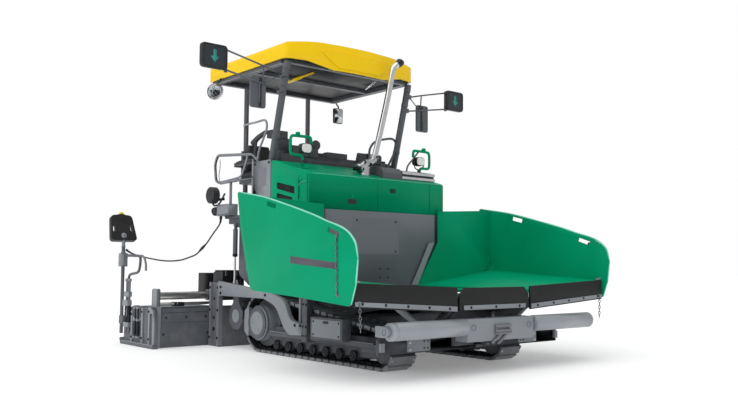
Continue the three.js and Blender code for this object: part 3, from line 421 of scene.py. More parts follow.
# Satin enamel holds a broad soft highlight; zinc plating has a fine bright grain.
dark_enamel = enamel("dark_grey_satin_enamel", "dark_paint", "#54575E", "#4C4F56", 0.48)
light_enamel = enamel("light_grey_satin_enamel", "grey_paint", "#8B9096", "#82878D", 0.42, dusty=0.2)
zinc_plate = bare_metal("zinc_plated_steel", "track_steel", "#C9CBCD", "#AFB1B4", 0.34, 3.0, 0.03)
dress("chassis_frame", dark_enamel, 0.003)
cross_front = 2.11
guards, guard_bolts, guard_hole_shade = [], [], []
for g in (1, -1):
    guards.append(on_side(panel("x", 0.6, 0.875, 0.207, 0.318, cross_front, cross_front + 0.008, 0.01), g))
    for z in (0.232, 0.294):
        guard_bolts.append(bolt((cross_front + 0.008, g * 0.845, z), (1, 0, 0), 0.017))
        # black discs on the guard plate: painted shade in its holes
        guard_hole_shade += [post((cross_front + 0.006, g * y, z), (cross_front + 0.012, g * y, z), 0.009, 12)
                       for y in (0.63, 0.675)]
    guards.append(on_side(bar(cross_front - 0.002, cross_front + 0.028, 1.15, 1.195, 0.225, 0.3), g))
piece("track_guards", guards, light_enamel)
piece("track_guard_bolts", guard_bolts, zinc_plate, ease=0)
piece("track_guard_hole_shade", guard_hole_shade, black_nylon, ease=0)

# ---------------------------------------------------------------- slat conveyor
# Two pairs of forged chains drag rolled steel slats over a wear plate, from the hopper to the augers.
# The mix keeps the steel scoured, so it is brighter along the way and browner at the edges.
forged_steel = bare_metal("scoured_forged_steel", "track_steel", "#7E8084", "#5F5D5B", 0.45, 5.0, 0.12, (6, 1, 1))
low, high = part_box("slat_conveyor")
wear_top = low.z + 0.006
slats, links = [bar(low.x, high.x, low.y, high.y, low.z, wear_top)], []
slat_pitch, link_pitch = 0.16, 0.08
x = low.x + 0.04
while x < high.x - 0.03:
    slats.append(plate("y", [(x, wear_top), (x + 0.045, wear_top), (x + 0.036, wear_top + 0.024, 0.004),
                             (x + 0.009, wear_top + 0.024, 0.004)], low.y + 0.012, high.y - 0.012))
    for row in (low.y + 0.022, -0.058, 0.058, high.y - 0.022):
        for step in (0, link_pitch):
            start, end = x - 0.012 + step, x + 0.058 + step
            outline = [(start, wear_top + 0.001, 0.009), (end, wear_top + 0.001, 0.009),
                       (end, wear_top + 0.029, 0.009), (start, wear_top + 0.029, 0.009)]
            shift = 0.007 if step else 0
            links += [plate("y", outline, row - 0.013 + shift, row - 0.008 + shift),
                      plate("y", outline, row + 0.008 - shift, row + 0.013 - shift)]
    x += slat_pitch
conveyor = piece("conveyor_slats", slats, forged_steel, ease=0.001)
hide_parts("slat_conveyor")
piece("conveyor_chains", links, forged_steel, ease=0)
ridge = [(-0.046, wear_top), (0.046, wear_top), (0.04, wear_top + 0.034), (0, wear_top + 0.052),
         (-0.04, wear_top + 0.034)]
piece("chain_guard", [plate("x", ridge, low.x + 0.02, high.x - 0.01)], dark_enamel)

# ---------------------------------------------------------------- engine and bulkhead
# A cast engine block sits crosswise on the frame. The bulkhead in front of it is 20 mm plate in a mid
# grey enamel. Sunk screws hold a service cover over the filters, so the folding wings pass them.
cast_block = bare_metal("painted_cast_engine", "dark_paint", "#4B4E52", "#393B3F", 0.6, 6.0, 0.3)
bulkhead_enamel = enamel("mid_grey_satin_enamel", "dark_paint", "#787A82", "#707279", 0.45, dusty=0.0)
dress("engine_block", cast_block, 0.006)
engine_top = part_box("engine_block")[1].z
covers = [bar(0.14, 0.6, g * 0.1, g * 0.3, engine_top, engine_top + 0.07, 0.03) for g in (1, -1)]
pipes = [tube(smooth([(0.2 + 0.1 * i, g * 0.36, 1.42), (0.2 + 0.1 * i, g * 0.45, 1.44),
                      (0.2 + 0.1 * i, g * 0.47, 1.36), (0.2 + 0.1 * i, g * 0.36, 1.26)]), 0.024)
         for i in range(4) for g in (1, -1)]
piece("engine_rocker_covers", covers, cast_block, ease=0.01)
piece("engine_pipes", pipes, cast_block, ease=0)

dress("bulkhead", bulkhead_enamel)
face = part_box("bulkhead")[1].x
cover_y, cover_z = (-0.41, 0.23), (1.07, 1.45)
cover = panel("x", *cover_y, *cover_z, face, face + 0.002, 0.012)
piece("service_cover", [cover], bulkhead_enamel, ease=0.0006)
studs = [(0.002, y, z) for y in (cover_y[0] + 0.05, cover_y[1] - 0.05)
         for z in (cover_z[0] + 0.03, cover_z[1] - 0.03)]
studs += [(0, 0.02 + y, 0.87 + z) for y in (-0.055, 0.055) for z in (-0.045, 0.045)]
heads = [post((face + out, y, z), (face + out + 0.0016, y, z), 0.011, 16) for out, y, z in studs]
piece("service_cover_screws", heads, cast_block, ease=0)

# ---------------------------------------------------------------- tanks beside the engine
# Folded and welded 4 mm sheet, with a strap round each tank, a grey panel on its side and a screwed filler cap.
for side, g in LEFT, RIGHT:
    dress(f"side_tank_{side}", dark_enamel, 0.004)
piece("tank_straps", both_sides([
    bar(x, x + 0.05, 0.895, 0.8985, 0.86, 1.46) for x in (-0.42, 0.1)
]), dark_enamel, ease=0.001)
piece("tank_panels", both_sides([
    panel("y", -0.33, 0.06, 0.9, 1.4, 0.895, 0.8975, 0.03),
]), bulkhead_enamel, ease=0.001)
piece("tank_cap", both_sides([
    spun((-0.55, 0.895, 1.28), (-0.55, 2, 1.28), [(0, 0.04), (0.016, 0.04), (0.02, 0.036)], 12),
]), black_nylon, ease=0.001)

# ---------------------------------------------------------------- tracks
# Each track is a chain of forged links with a rolled steel shoe on every pair, and a moulded pad bolted
# to each shoe to spare the road. Dust keeps the pads pale; the chain stays dark with grease.
shoe_steel = bare_metal("rolled_shoe_steel", "track_steel", "#5A5C60", "#45474A", 0.5, 5.0, 0.12)
worn_pad = moulded("dusty_polyurethane_pad", "apron_rubber", "#7E8184", "#6C6F73", 0.6, 4.0, 0.12)
greasy_steel = bare_metal("greasy_link_steel", "track_steel", "#434549", "#2F3134", 0.55, 5.0, 0.2)
sprocket = (-0.24, 0.32)  # x of the wheel and the radius to the shoes' faces, which is also its height
idler = (1.74, 0.19)
shoe_pitch, pad_thick, shoe_thick, link_deep = 0.108, 0.032, 0.041, 0.0565
track_y = (0.58, 0.88)


def track_line(count):
    """Evenly spaced places and headings round the outside of the track, anticlockwise from its top."""
    (rear_x, rear_r), (front_x, front_r) = sprocket, idler
    rise, span = front_r - rear_r, front_x - rear_x
    apart = math.hypot(rise, span)
    lean = math.atan2(rise, span) + math.acos((rear_r - front_r) / apart)
    line = []
    for (x, r), start, end in ((sprocket, lean, 1.5 * math.pi), (idler, -0.5 * math.pi, lean)):
        line += [Vector((x + r * math.cos(start + (end - start) * t / 90), 0,
                         r + r * math.sin(start + (end - start) * t / 90)))
                 for t in range(91)]
    line.append(line[0].copy())
    total, found, done, n = run_of(line), [], 0.0, 0
    for k in range(count):
        want = total * k / count
        while done + (line[n + 1] - line[n]).length < want:
            done += (line[n + 1] - line[n]).length
            n += 1
        heading = (line[n + 1] - line[n]).normalized()
        found.append((line[n] + heading * (want - done), heading))
    return found


shoe_count = 50
stations = track_line(2 * shoe_count)
shoes, pads, shoe_bolts, chain = [], [], [], []
for k in range(shoe_count):
    at, heading = stations[2 * k]
    inward = Vector((-heading.z, 0, heading.x))
    lay = lambda along, y, deep: tuple(at + heading * along + inward * deep + Vector((0, y, 0)))
    half = shoe_pitch / 2 - 0.0075

    def block(a, b, y0, y1, deep0, deep1):
        """A box laid along the track, clear of the ground where it turns round the wheels."""
        corners, faces = bar(a, b, y0, y1, deep0, deep1)
        corners = [lay(*c) for c in corners]
        return [(x, y, max(z, 0.0)) for x, y, z in corners], faces

    shoes.append(block(-half, half, *track_y, pad_thick, shoe_thick))
    pads.append(block(-half + 0.004, half - 0.004, track_y[0] + 0.002, track_y[1] - 0.002, 0.002, pad_thick))
    for y in (0.6, 0.86):
        head = lay(0, y, 0.003)
        shoe_bolts.append(spun(head, Vector(head) - inward, [(0, 0.015), (0.003, 0.015)], 6))
    for y in (0.648, 0.782):
        chain.append(block(-0.058, 0.03, y, y + 0.015, shoe_thick, link_deep - 0.004))
        chain.append(block(-0.03, 0.058, y + 0.016, y + 0.03, shoe_thick, link_deep))
    pin = lay(shoe_pitch / 2, 0, 0.048)
    chain.append(post(Vector(pin) + Vector((0, 0.64, 0)), Vector(pin) + Vector((0, 0.82, 0)), 0.0085, 10))
for side, g in LEFT, RIGHT:
    made = piece(f"track_shoes_{side}", sided(shoes, g), shoe_steel, ease=0.0015)
    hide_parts(f"track_{side}")
    piece(f"track_pads_{side}", sided(pads, g), worn_pad, ease=0.003)
    piece(f"track_shoe_bolts_{side}", sided(shoe_bolts, g), zinc_plate, ease=0)
    piece(f"track_chain_{side}", sided(chain, g), greasy_steel, ease=0)

# ---------------------------------------------------------------- track frames
# Fabricated box beams carry forged rollers and the idler. The final drive sits in a domed cover
# with three plugs, and a hinged lid closes the tool box beside the rollers.
for side, g in LEFT, RIGHT:
    dress(f"track_frame_{side}", dark_enamel)
drive = Vector((-0.24, 0.725, 0.32))
drum = [(0, 0.186), (0.004, 0.1935), (0.118, 0.1945), (0.146, 0.192), (0.168, 0.184), (0.184, 0.17), (0.196, 0.146),
        (0.202, 0.112), (0.2035, 0.06)]
pale, dark, bright, black = [spun(drive, drive + Vector((0, 1, 0)), drum, 64)], [], [], []
for turn in (math.tau * (i + 0.5) / 12 for i in range(12)):
    dark.append(bolt((drive.x + 0.192 * math.cos(turn), 0.748, drive.z + 0.192 * math.sin(turn)),
                     (math.cos(turn), 0, math.sin(turn)), 0.011))
for turn in (math.tau * (i + 0.5) / 3 for i in range(3)):
    pale.append(spun((drive.x + 0.085 * math.cos(turn), 0.925, drive.z + 0.085 * math.sin(turn)),
                     (drive.x + 0.085 * math.cos(turn), 2, drive.z + 0.085 * math.sin(turn)),
                     [(0, 0.015), (0.006, 0.015), (0.008, 0.012)], 16))
roller_z, roller_pitch = 0.1085, 0.215
x = 0.06
while x < idler[0] - 0.2:
    spot = Vector((x, 0.866, roller_z))
    dark.append(spun(spot - Vector((0, 0.02, 0)), spot + Vector((0, 1, 0)),
                     [(0, 0.052), (0.019, 0.052), (0.024, 0.046), (0.026, 0.036)], 28))
    dark.append(spun(spot + Vector((0, 0.005, 0)), spot + Vector((0, 1, 0)),
                     [(0, 0.03), (0.006, 0.03), (0.009, 0.024)], 20))
    dark.append(bolt(spot + Vector((0, 0.013, 0)), (0, 1, 0), 0.012))
    x += roller_pitch
pale.append(plate("y", [(-0.53, 0.21, 0.02), (-0.46, 0.17, 0.02), (-0.44, 0.17), (-0.44, 0.48), (-0.47, 0.48, 0.02),
                        (-0.53, 0.44, 0.02)], 0.862, 0.9))
pale.append(bar(0.0, 1.7, 0.893, 0.912, 0.243, 0.25))
pale.append(panel("y", 0.885, 1.335, 0.262, 0.432, 1.0, 1.0035, 0.012))  # the tool box lid
dark += [bolt((x, 1.0035, z), (0, 1, 0), 0.011) for x in (0.91, 1.31) for z in (0.285, 0.41)]
black.append(panel("y", 1.07, 1.15, 0.395, 0.42, 1.003, 1.008, 0.006))
dark += [bolt((x, 0.96, z), (0, 1, 0), 0.013) for x in (0.675, 0.725) for z in (0.25, 0.34, 0.56)]
# the levelling cylinder that raises the tow point, with its chromed rod
hard_chrome = bare_metal("hard_chromed_rod", "chrome_rod", "#DADBDD", "#CFD0D3", 0.14, 1.5, 0.005, (1, 1, 20))
bright.append(post((0.637, 0.89, 0.36), (0.637, 0.89, 0.6), 0.009))
pale.append(post((0.525, 0.884, 0.36), (0.525, 0.884, 0.655), 0.016))
pale.append(post((0.637, 0.89, 0.57), (0.637, 0.89, 0.655), 0.015))
for side, g in LEFT, RIGHT:
    piece(f"track_frame_covers_{side}", sided(pale, g), light_enamel, ease=0.0015)
    piece(f"track_frame_rollers_{side}", sided(dark, g), greasy_steel, ease=0)
    piece(f"tow_point_rod_{side}", sided(bright, g), hard_chrome, ease=0)
    piece(f"tool_box_latch_{side}", sided(black, g), black_nylon, ease=0.001)

# ---------------------------------------------------------------- push beam and rollers
# The truck's rear wheels push on two hollow steel rollers. Their beam is a fabricated box that swivels
# on one pin; the tyres keep the rollers' grey enamel polished.
rolled_enamel = enamel("tyre_polished_grey_enamel", "grey_paint", "#989DA3", "#8E9399", 0.32, coat=0.25, dusty=0.0)
dress("push_beam", light_enamel, 0.004)
axle_x, axle_z, shell_r = 2.4, 0.42, 0.075
inner_end, outer_end = 0.465, 1.34
long = outer_end - inner_end
shell = [(0, 0.052), (0.002, 0.068), (0.008, shell_r), (long - 0.052, shell_r), (long - 0.05, shell_r - 0.004),
         (long - 0.046, shell_r - 0.004), (long - 0.044, shell_r), (long - 0.008, shell_r),
         (long - 0.002, 0.068), (long, 0.052)]
for side, g in LEFT, RIGHT:
    start, far = Vector((axle_x, g * inner_end, axle_z)), Vector((axle_x, g * 9, axle_z))
    ends = [post((axle_x, g * 0.4528, axle_z), (axle_x, g * inner_end, axle_z), 0.024),
            post((axle_x, g * outer_end, axle_z), (axle_x, g * 1.3492, axle_z), 0.024)]
    roller = piece(f"push_roller_shell_{side}", [spun(start, far, shell, 56), *ends], rolled_enamel,
                   f"push_roller_{side}", 0)
    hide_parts(f"push_roller_{side}")
caps, rings_round, dark_rings = [], [], []


def ring(centre, toward, radius, thick, sides=40):
    """A round wire or weld bead laid in a closed circle."""
    centre, toward = Vector(centre), Vector(toward).normalized()
    side = toward.orthogonal().normalized()
    other = toward.cross(side)
    turns = [math.tau * i / sides for i in range(sides + 1)]
    return tube([centre + (side * math.cos(t) + other * math.sin(t)) * radius for t in turns], thick, 8)


for g in (1, -1):
    caps.append(spun((axle_x, g * 1.38, axle_z), (axle_x, g * 9, axle_z),
                     [(0, 0.04), (0.006, 0.04), (0.009, 0.036)], 36))
    dark_rings.append(ring((axle_x + 0.0005, g * 1.3895, axle_z), (0, 1, 0), 0.022, 0.0025))
    rings_round.append(ring((2.4315, g * 0.375, 0.415), (1, 0, 0), 0.026, 0.002))
    caps.append(on_side(bar(2.27, 2.3, 0.458, 1.34, axle_z + 0.0355, axle_z + 0.04), g))
# towing bracket: two bars above a pair of struts that reach down to the pin plate
front = 2.43
bracket = [post((front + 0.014, -0.105, z), (front + 0.014, 0.105, z), 0.013) for z in (0.418, 0.376)]
bracket += [bar(front, front + 0.016, g * 0.085 - 0.01, g * 0.085 + 0.01, 0.36, 0.435) for g in (1, -1)]
bracket += [tube(bent, 0.012) for bent in (
    [(front + 0.012, 0.06, 0.352), (front + 0.012, 0.0, 0.305), (front + 0.004, -0.06, 0.262)],
    [(front + 0.012, -0.03, 0.352), (front + 0.012, -0.09, 0.305), (front + 0.004, -0.14, 0.27)])]
bracket.append(post((front + 0.012, -0.1, 0.352), (front + 0.012, 0.11, 0.352), 0.012))
pin_eye = [bar(2.3, 2.36, -0.05, 0.05, 0.484, 0.4905, 0.02), post((2.32, 0, 0.485), (2.32, 0, 0.51), 0.014),
           ring((2.32, 0, 0.522), (1, 0, 0), 0.014, 0.004, 20)]
piece("push_beam_bracket", bracket + pin_eye, bulkhead_enamel, "push_beam", 0.0012)
piece("push_beam_caps", caps, light_enamel, "push_beam", 0.0012)
piece("push_beam_weld_rings", rings_round + dark_rings, dark_enamel, "push_beam", 0)

# ---------------------------------------------------------------- hopper wings
# Pressed and welded 12 to 20 mm plate, sprayed with a dense green gloss enamel; a pale green tube on
# the bent top edges is a painted highlight. Each wing hinges on a tube along the conveyor.
green_enamel = enamel("green_gloss_enamel", "green_paint", "#009C70", "#009468", 0.38, coat=0.02,
                      dusty=0.0, shine=0.05)
# Pale green: a painted highlight along each wing's bent top edge.
wing_highlight_paint = enamel("painted_highlight_wing_edge", "green_paint", "#86DCC0", "#74D2B3", 0.22, coat=0.6, dusty=0.0)
wing_outer, rim = 1.7, 0.009
rim_line = [(0.64, 1.634), (1.07, 1.566), (1.44, 1.478), (1.82, 1.378), (2.03, 1.312), (2.2, 1.265),
            (2.3, 1.222), (2.366, 1.172), (2.404, 1.12), (2.424, 1.03), (2.425, 0.96), (2.404, 0.805), (2.35, 0.65)]
stripe = [(1.52, 1.03), (2.19, 0.975), (2.19, 0.922), (1.52, 0.968)]
chain_steel = bare_metal("weathered_zinc_chain", "track_steel", "#8E9194", "#6F7276", 0.45, 3.0, 0.05)
stripe_film = enamel("grey_stripe_film", "grey_paint", "#5A5861", "#55535B", 0.45, dusty=0.0, shine=0.2)


def chain_links(start, end, size):
    """A hanging chain: oval welded links of wire, each turned a quarter from the last."""
    start, end = Vector(start), Vector(end)
    heading = (end - start).normalized()
    side = heading.orthogonal().normalized()
    other = heading.cross(side)
    count = max(2, round((end - start).length / (size * 2.3)))
    made = []
    for k in range(count):
        middle = start + (end - start) * ((k + 0.5) / count)
        wide = side if k % 2 else other
        turns = [math.tau * i / 14 for i in range(15)]
        oval = [middle + heading * math.sin(t) * size * 1.5 + wide * math.cos(t) * size * 0.75 for t in turns]
        made.append(tube(oval, size * 0.27, 8))
    return made


for side, g in LEFT, RIGHT:
    wing = f"hopper_wing_{side}"
    dress(wing, green_enamel, 0.003)
    # a tube along the top edge in the pale green: the painted highlight
    edge = smooth([(x, g * (wing_outer - rim), z + 0.002) for x, z in rim_line])
    piece(f"wing_edge_{side}", [tube(edge, rim, 12)], wing_highlight_paint, wing, 0)
    piece(f"wing_stripe_{side}", [on_side(plate("y", stripe, wing_outer - 0.001, wing_outer + 0.0006), g)],
          stripe_film, wing, 0)
    grey_parts = [on_side(plate("x", [(0.735, 1.212), (0.655, 1.2), (0.4, 0.742), (0.485, 0.738)], 0.8003, 0.808), g),
                  on_side(plate("x", [(1.585, 0.83), (1.672, 0.842), (1.672, 0.735), (1.635, 0.7)],
                                2.3303, 2.334), g)]
    piece(f"wing_wear_strips_{side}", grey_parts, rolled_enamel, wing, 0.0008)
    hung = chain_links((2.178, g * 1.7085, 1.165), (2.19, g * 1.7085, 0.735), 0.0125)
    hung += [ring((2.178, g * 1.706, 1.178), (0, 1, 0), 0.012, 0.0035, 20),
             bolt((2.178, g * 1.7, 1.195), (0, g, 0), 0.02),
             bolt((2.19, g * 1.7, 0.72), (0, g, 0), 0.02)]
    hung += chain_links((2.362, g * 1.61, 0.64), (2.362, g * 1.6, 0.43), 0.0125)
    hung += [bolt((2.354, g * 1.61, 0.655), (1, 0, 0), 0.02)]
    piece(f"wing_chains_{side}", hung, chain_steel, wing, 0)
    gussets = [on_side(plate("x", [(1.55, 0.905), (1.679, 0.915), (1.679, 1.08)], 0.801, 0.809), g),
               on_side(plate("z", [(0.8, 1.64), (0.8, 1.68), (0.85, 1.68)], 0.885, 0.96), g)]
    piece(f"wing_stiffeners_{side}", gussets, green_enamel, wing, 0.001)
    # faces of the wing that look down take the dark grey enamel: painted shade on its underside
    nodes[wing].data.materials.append(dark_enamel)
    for face in nodes[wing].data.polygons:
        if face.normal.z < -0.6:
            face.material_index = 1

# ---------------------------------------------------------------- aprons
# Fabric-reinforced rubber belting, 24 mm thick, closes the hopper's front edge. A flat steel bar with
# hexagon bolts clamps each flap's lower edge.
belting = moulded("rubber_belting", "apron_rubber", "#141517", "#0F1012", 0.72, 5.0, 0.15)
for node in ("centre_apron", "wing_apron_left", "wing_apron_right"):
    dress(node, belting, 0.003)
apron_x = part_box("centre_apron")[1].x
for side, g in LEFT, RIGHT:
    # the bar follows the flap's lower edge
    lower = [(0.506, 0.556), (1.65, 0.632), (1.655, 0.668), (0.506, 0.6)]
    piece(f"apron_bar_{side}", [on_side(plate("x", lower, apron_x, apron_x + 0.006), g)], light_enamel,
          f"hopper_wing_{side}", 0.001)
    heads = [bolt((apron_x + 0.006, g * (0.6 + 0.245 * i), 0.584 + 0.0163 * i), (1, 0, 0), 0.013) for i in range(5)]
    piece(f"apron_bolts_{side}", heads, greasy_steel, f"hopper_wing_{side}", 0)
piece("apron_bar_centre", [panel("x", -0.42, 0.42, 0.566, 0.606, apron_x, apron_x + 0.006, 0.008)],
      light_enamel, "root", 0.001)
piece("apron_bolts_centre", [bolt((apron_x + 0.006, y, 0.586), (1, 0, 0), 0.013) for y in (-0.33, 0, 0.33)],
      greasy_steel, "root", 0)

# ---------------------------------------------------------------- wing cylinders
# Double-acting hydraulic cylinders: honed barrels in grey enamel with a screwed gland, and hard-chromed
# rods that carry a single sharp highlight.
for side, g in LEFT, RIGHT:
    dress(f"wing_cylinder_{side}", light_enamel)
    dress(f"wing_cylinder_rod_{side}", hard_chrome, 0.001)
    foot, head = Vector((2.01, g * 0.575, 0.385)), Vector((2.01, g * 1.12, 0.728))
    along = (head - foot).normalized()
    gland = spun(foot + along * 0.396, head, [(0, 0.034), (0.002, 0.036), (0.026, 0.036), (0.028, 0.034)], 8)
    ports = [post(foot + along * d, foot + along * d + Vector((0.045, 0, 0)), 0.012, 12) for d in (0.1, 0.36)]
    piece(f"wing_cylinder_gland_{side}", [gland, *ports], greasy_steel,
          nodes[f"wing_cylinder_{side}"]["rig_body"], 0.001)

# ---------------------------------------------------------------- augers
# Ni-hard cast flights clamp on a shaft under the chain case. The mix scours the flights' rims bright.
scoured_iron = bare_metal("scoured_auger_iron", "auger_iron", "#75767A", "#57585C", 0.5, 4.0, 0.3)
dress("auger_case", dark_enamel)
for side, g in LEFT, RIGHT:
    dress(f"auger_{side}", scoured_iron, 0.002)
    piece(f"auger_bearing_{side}", [spun((-0.72, g * 0.884, 0.37), (-0.72, g * 9, 0.37),
                                         [(-0.002, 0.075), (0.0195, 0.075)], 32)], light_enamel, "root", 0.001)

# ---------------------------------------------------------------- tow arms and lift cylinders
# Each tow arm is cut from 50 mm plate and pinned at the tow point. Hydraulic cylinders hang the arms
# from the tanks and lift the screed.
for side, g in LEFT, RIGHT:
    dress(f"tow_arm_{side}", light_enamel, 0.004)
    dress(f"lift_cylinder_{side}", dark_enamel)
    dress(f"lift_cylinder_rod_{side}", hard_chrome, 0.001)
    y = g * 0.955
    pin = [spun((0.59, y, 0.3), (0.59, g * 9, 0.3), [(0, 0.044), (0.004, 0.044), (0.006, 0.04)], 28),
           post((0.59, y, 0.3), (0.59, y + g * 0.012, 0.3), 0.024)]
    pads = [plate("y", [(-0.93, 0.64, 0.01), (-0.2, 0.608, 0.01), (-0.2, 0.64, 0.01), (-0.93, 0.69, 0.01)],
                  0.955, 0.957)]
    piece(f"tow_arm_boss_{side}", pin + sided(pads, g), light_enamel, "screed", 0.001)
    heads = [bolt((x, y, z), (0, g, 0), 0.018) for x, z in ((0.53, 0.345), (0.62, 0.345), (-0.97, 0.62),
                                                            (-0.97, 0.69), (-0.03, 0.628))]
    piece(f"tow_arm_bolts_{side}", heads, greasy_steel, "screed", 0)
    barrel = nodes[f"lift_cylinder_{side}"]["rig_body"]
    piece(f"lift_gland_{side}", [spun((-0.7, g * 0.933, 1.07), (-0.7, g * 0.933, 0),
                                      [(0.0, 0.0285), (0.002, 0.03), (0.03, 0.03), (0.032, 0.0285)], 8)],
          greasy_steel, barrel, 0.001)

# ---------------------------------------------------------------- main screed
# A welded box with heated bottom plates, end plates of folded sheet, glass-fibre filled control boxes
# on its back and a walkway of pressed chequer plate behind it.
screed_enamel = enamel("screed_grey_satin_enamel", "dark_paint", "#5C5F66", "#54575E", 0.46, dusty=0.3)


def chequered(name, slot, colour, pitch_mm):
    """Rolled chequer plate: raised bars 24 mm long at right angles to their neighbours, worn bright."""
    made, tree, shader, place = started(name, slot)
    maths = lambda kind, a, b=0.0: put(tree, "ShaderNodeMath", {0: a, 1: b}, operation=kind).outputs[0]
    across = put(tree, "ShaderNodeSeparateXYZ", {0: place}).outputs
    scale = 1000 / pitch_mm
    first = maths("MULTIPLY", maths("ADD", across[0], across[1]), scale)
    second = maths("MULTIPLY", maths("SUBTRACT", across[0], across[1]), scale)
    odd = maths("FLOORED_MODULO", maths("ADD", maths("FLOOR", first), maths("FLOOR", second)), 2.0)
    a = maths("SUBTRACT", maths("FRACT", first), 0.5)
    b = maths("SUBTRACT", maths("FRACT", second), 0.5)
    flat = put(tree, "ShaderNodeMix", {0: odd, 2: a, 3: b}).outputs[0]
    tall = put(tree, "ShaderNodeMix", {0: odd, 2: b, 3: a}).outputs[0]
    far = maths("ADD", maths("POWER", maths("MULTIPLY", flat, 2.2), 2.0),
                maths("POWER", maths("MULTIPLY", tall, 7.0), 2.0))
    raised = spread(tree, far, 1.0, 0.55)
    tree.links.new(between(tree, raised, colour, "#7C8086"), shader.inputs["Base Color"])
    tree.links.new(spread(tree, raised, 0, 1, 0.55, 0.36), shader.inputs["Roughness"])
    bumped(tree, shader, raised, 1.2, 0.8)
    return made


chequer_plate = chequered("rolled_chequer_plate", "dark_paint", "#53565C", 38)
dress("main_screed", screed_enamel, 0.003)
walk_top, end_face = 0.56, 0.935
piece("walkway_treads", both_sides([bar(-2.465, -1.44, 0.004, 0.87, walk_top, walk_top + 0.003)]), chequer_plate,
      "screed", 0.001)
pale, dark = [], []
pale.append(panel("y", -1.262, -1.215, 0.004, 0.737, end_face, end_face + 0.006, 0.004))
pale.append(panel("y", -1.085, -1.033, 0.004, 0.737, end_face, end_face + 0.006, 0.004))
pale.append(panel("x", 0.892, 0.934, 0.004, 0.736, -1.03, -1.0275))
dark += [bolt((x, end_face + (0.006 if x != -1.15 else 0), z), (0, 1, 0), 0.018) for x, z in
         ((-1.24, 0.1), (-1.24, 0.42), (-1.24, 0.68), (-1.06, 0.1), (-1.06, 0.42), (-1.06, 0.68),
          (-1.15, 0.33), (-1.15, 0.55))]
dark.append(post((-1.15, end_face, 0.2), (-1.15, end_face + 0.006, 0.2), 0.024, 24))
piece("screed_end_posts", both_sides(pale), bulkhead_enamel, "screed", 0.0012)
piece("screed_end_bolts", both_sides(dark), greasy_steel, "screed", 0)
housings = [bar(-1.2565, -1.0585, 0.6385, 0.8925, 0.619, 0.863, 0.018),
            bar(-1.252, -1.062, 0.648, 0.884, 0.862, 0.882, 0.02)]
piece("screed_control_housings", both_sides(housings), black_nylon, "screed", 0.006)
cabinets = both_sides([bar(-1.66, -1.47, 0.33, 0.885, 0.564, 0.845, 0.03), bar(-1.4725, -1.464, 0.36, 0.6, 0.6, 0.81),
                       bar(-1.4725, -1.464, 0.62, 0.86, 0.6, 0.81)])
piece("screed_heating_cabinets", cabinets, black_nylon, "screed", 0.008)
clips = both_sides([bar(-1.06, -1.052, y, y + 0.03, 0.815, 0.872, 0.003) for y in (0.68, 0.82)])
piece("screed_box_clips", clips, zinc_plate, "screed", 0.0008)
gas = both_sides([tube(smooth([(-1.13, 0.7, 0.66), (-1.02, 0.72, 0.6), (-1.02, 0.62, 0.52), (-1.0, 0.4, 0.5),
                               (-1.02, 0.16, 0.49)]), 0.011, 10),
                  tube(smooth([(-1.15, 0.66, 0.64), (-1.05, 0.6, 0.54), (-1.02, 0.3, 0.48), (-1.02, 0.05, 0.475)]),
                       0.009, 10)])
piece("screed_heating_pipes", gas, black_nylon, "screed", 0)
tops = both_sides([bar(-1.24, -1.05, 0.1, 0.62, 0.46, 0.464), bar(-1.2, -1.09, 0.2, 0.34, 0.464, 0.5, 0.02)])
piece("screed_covers", tops, bulkhead_enamel, "screed", 0.003)

# ---------------------------------------------------------------- screed extensions
# Each extension slides on one big chromium-steel guide tube and a thin torque tube under it. Its body
# has folded sheet covers screwed to the front.
guide_steel = bare_metal("ground_guide_tube_steel", "chrome_rod", "#D6D5D0", "#CBCAC5", 0.34, 8.0, 0.0, (1, 1, 1))
for side, g in LEFT, RIGHT:
    body = f"screed_extension_{side}"
    dress(body, screed_enamel, 0.003)
    front, inner, outer = -1.29, 0.905, 1.585
    covers = [panel("x", inner + 0.006, outer - 0.052, z0, z1, front, front + thick)
              for z0, z1, thick in ((0.02, 0.278, 0.003), (0.284, 0.392, 0.005), (0.398, 0.446, 0.008))]
    piece(f"extension_covers_{side}", sided(covers, g), screed_enamel, body, 0.0015)
    trims = [bar(-1.7, front + 0.012, inner, outer, 0.46, 0.4635),
             panel("x", outer - 0.046, outer - 0.002, 0.004, 0.47, front, front + 0.012),
             bar(-1.425, -1.295, 1.5445, 1.5855, 0.4605, 0.668, 0.012)]
    piece(f"extension_trims_{side}", sided(trims, g), light_enamel, body, 0.0015)
    heads = [bolt((front + 0.005, g * y, 0.338), (1, 0, 0), 0.013) for y in (0.97, 1.22, 1.47)]
    heads += [bolt((front + 0.003, g * y, 0.15), (1, 0, 0), 0.013) for y in (0.94, 1.5)]
    piece(f"extension_bolts_{side}", heads, greasy_steel, body, 0)
    sleeve = spun((-1.36, g * 0.7605, 0.585), (-1.36, g * 9, 0.585),
                  [(0, 0.04), (0.004, 0.0453), (0.795, 0.0453), (0.798, 0.0453)], 48)
    thin = [post((-1.36, g * 0.7605, 0.492), (-1.36, g * 1.56, 0.492), 0.018)]
    piece(f"guide_tubes_{side}", [sleeve, *thin], guide_steel, body, 0)
    blocks = [bar(-1.42, -1.335, 1.22, 1.3, 0.4635, 0.51, 0.006),
              bar(-1.42, -1.335, 1.315, 1.345, 0.4635, 0.512, 0.004)]
    piece(f"extension_heater_plugs_{side}", sided(blocks, g), black_nylon, body, 0.002)

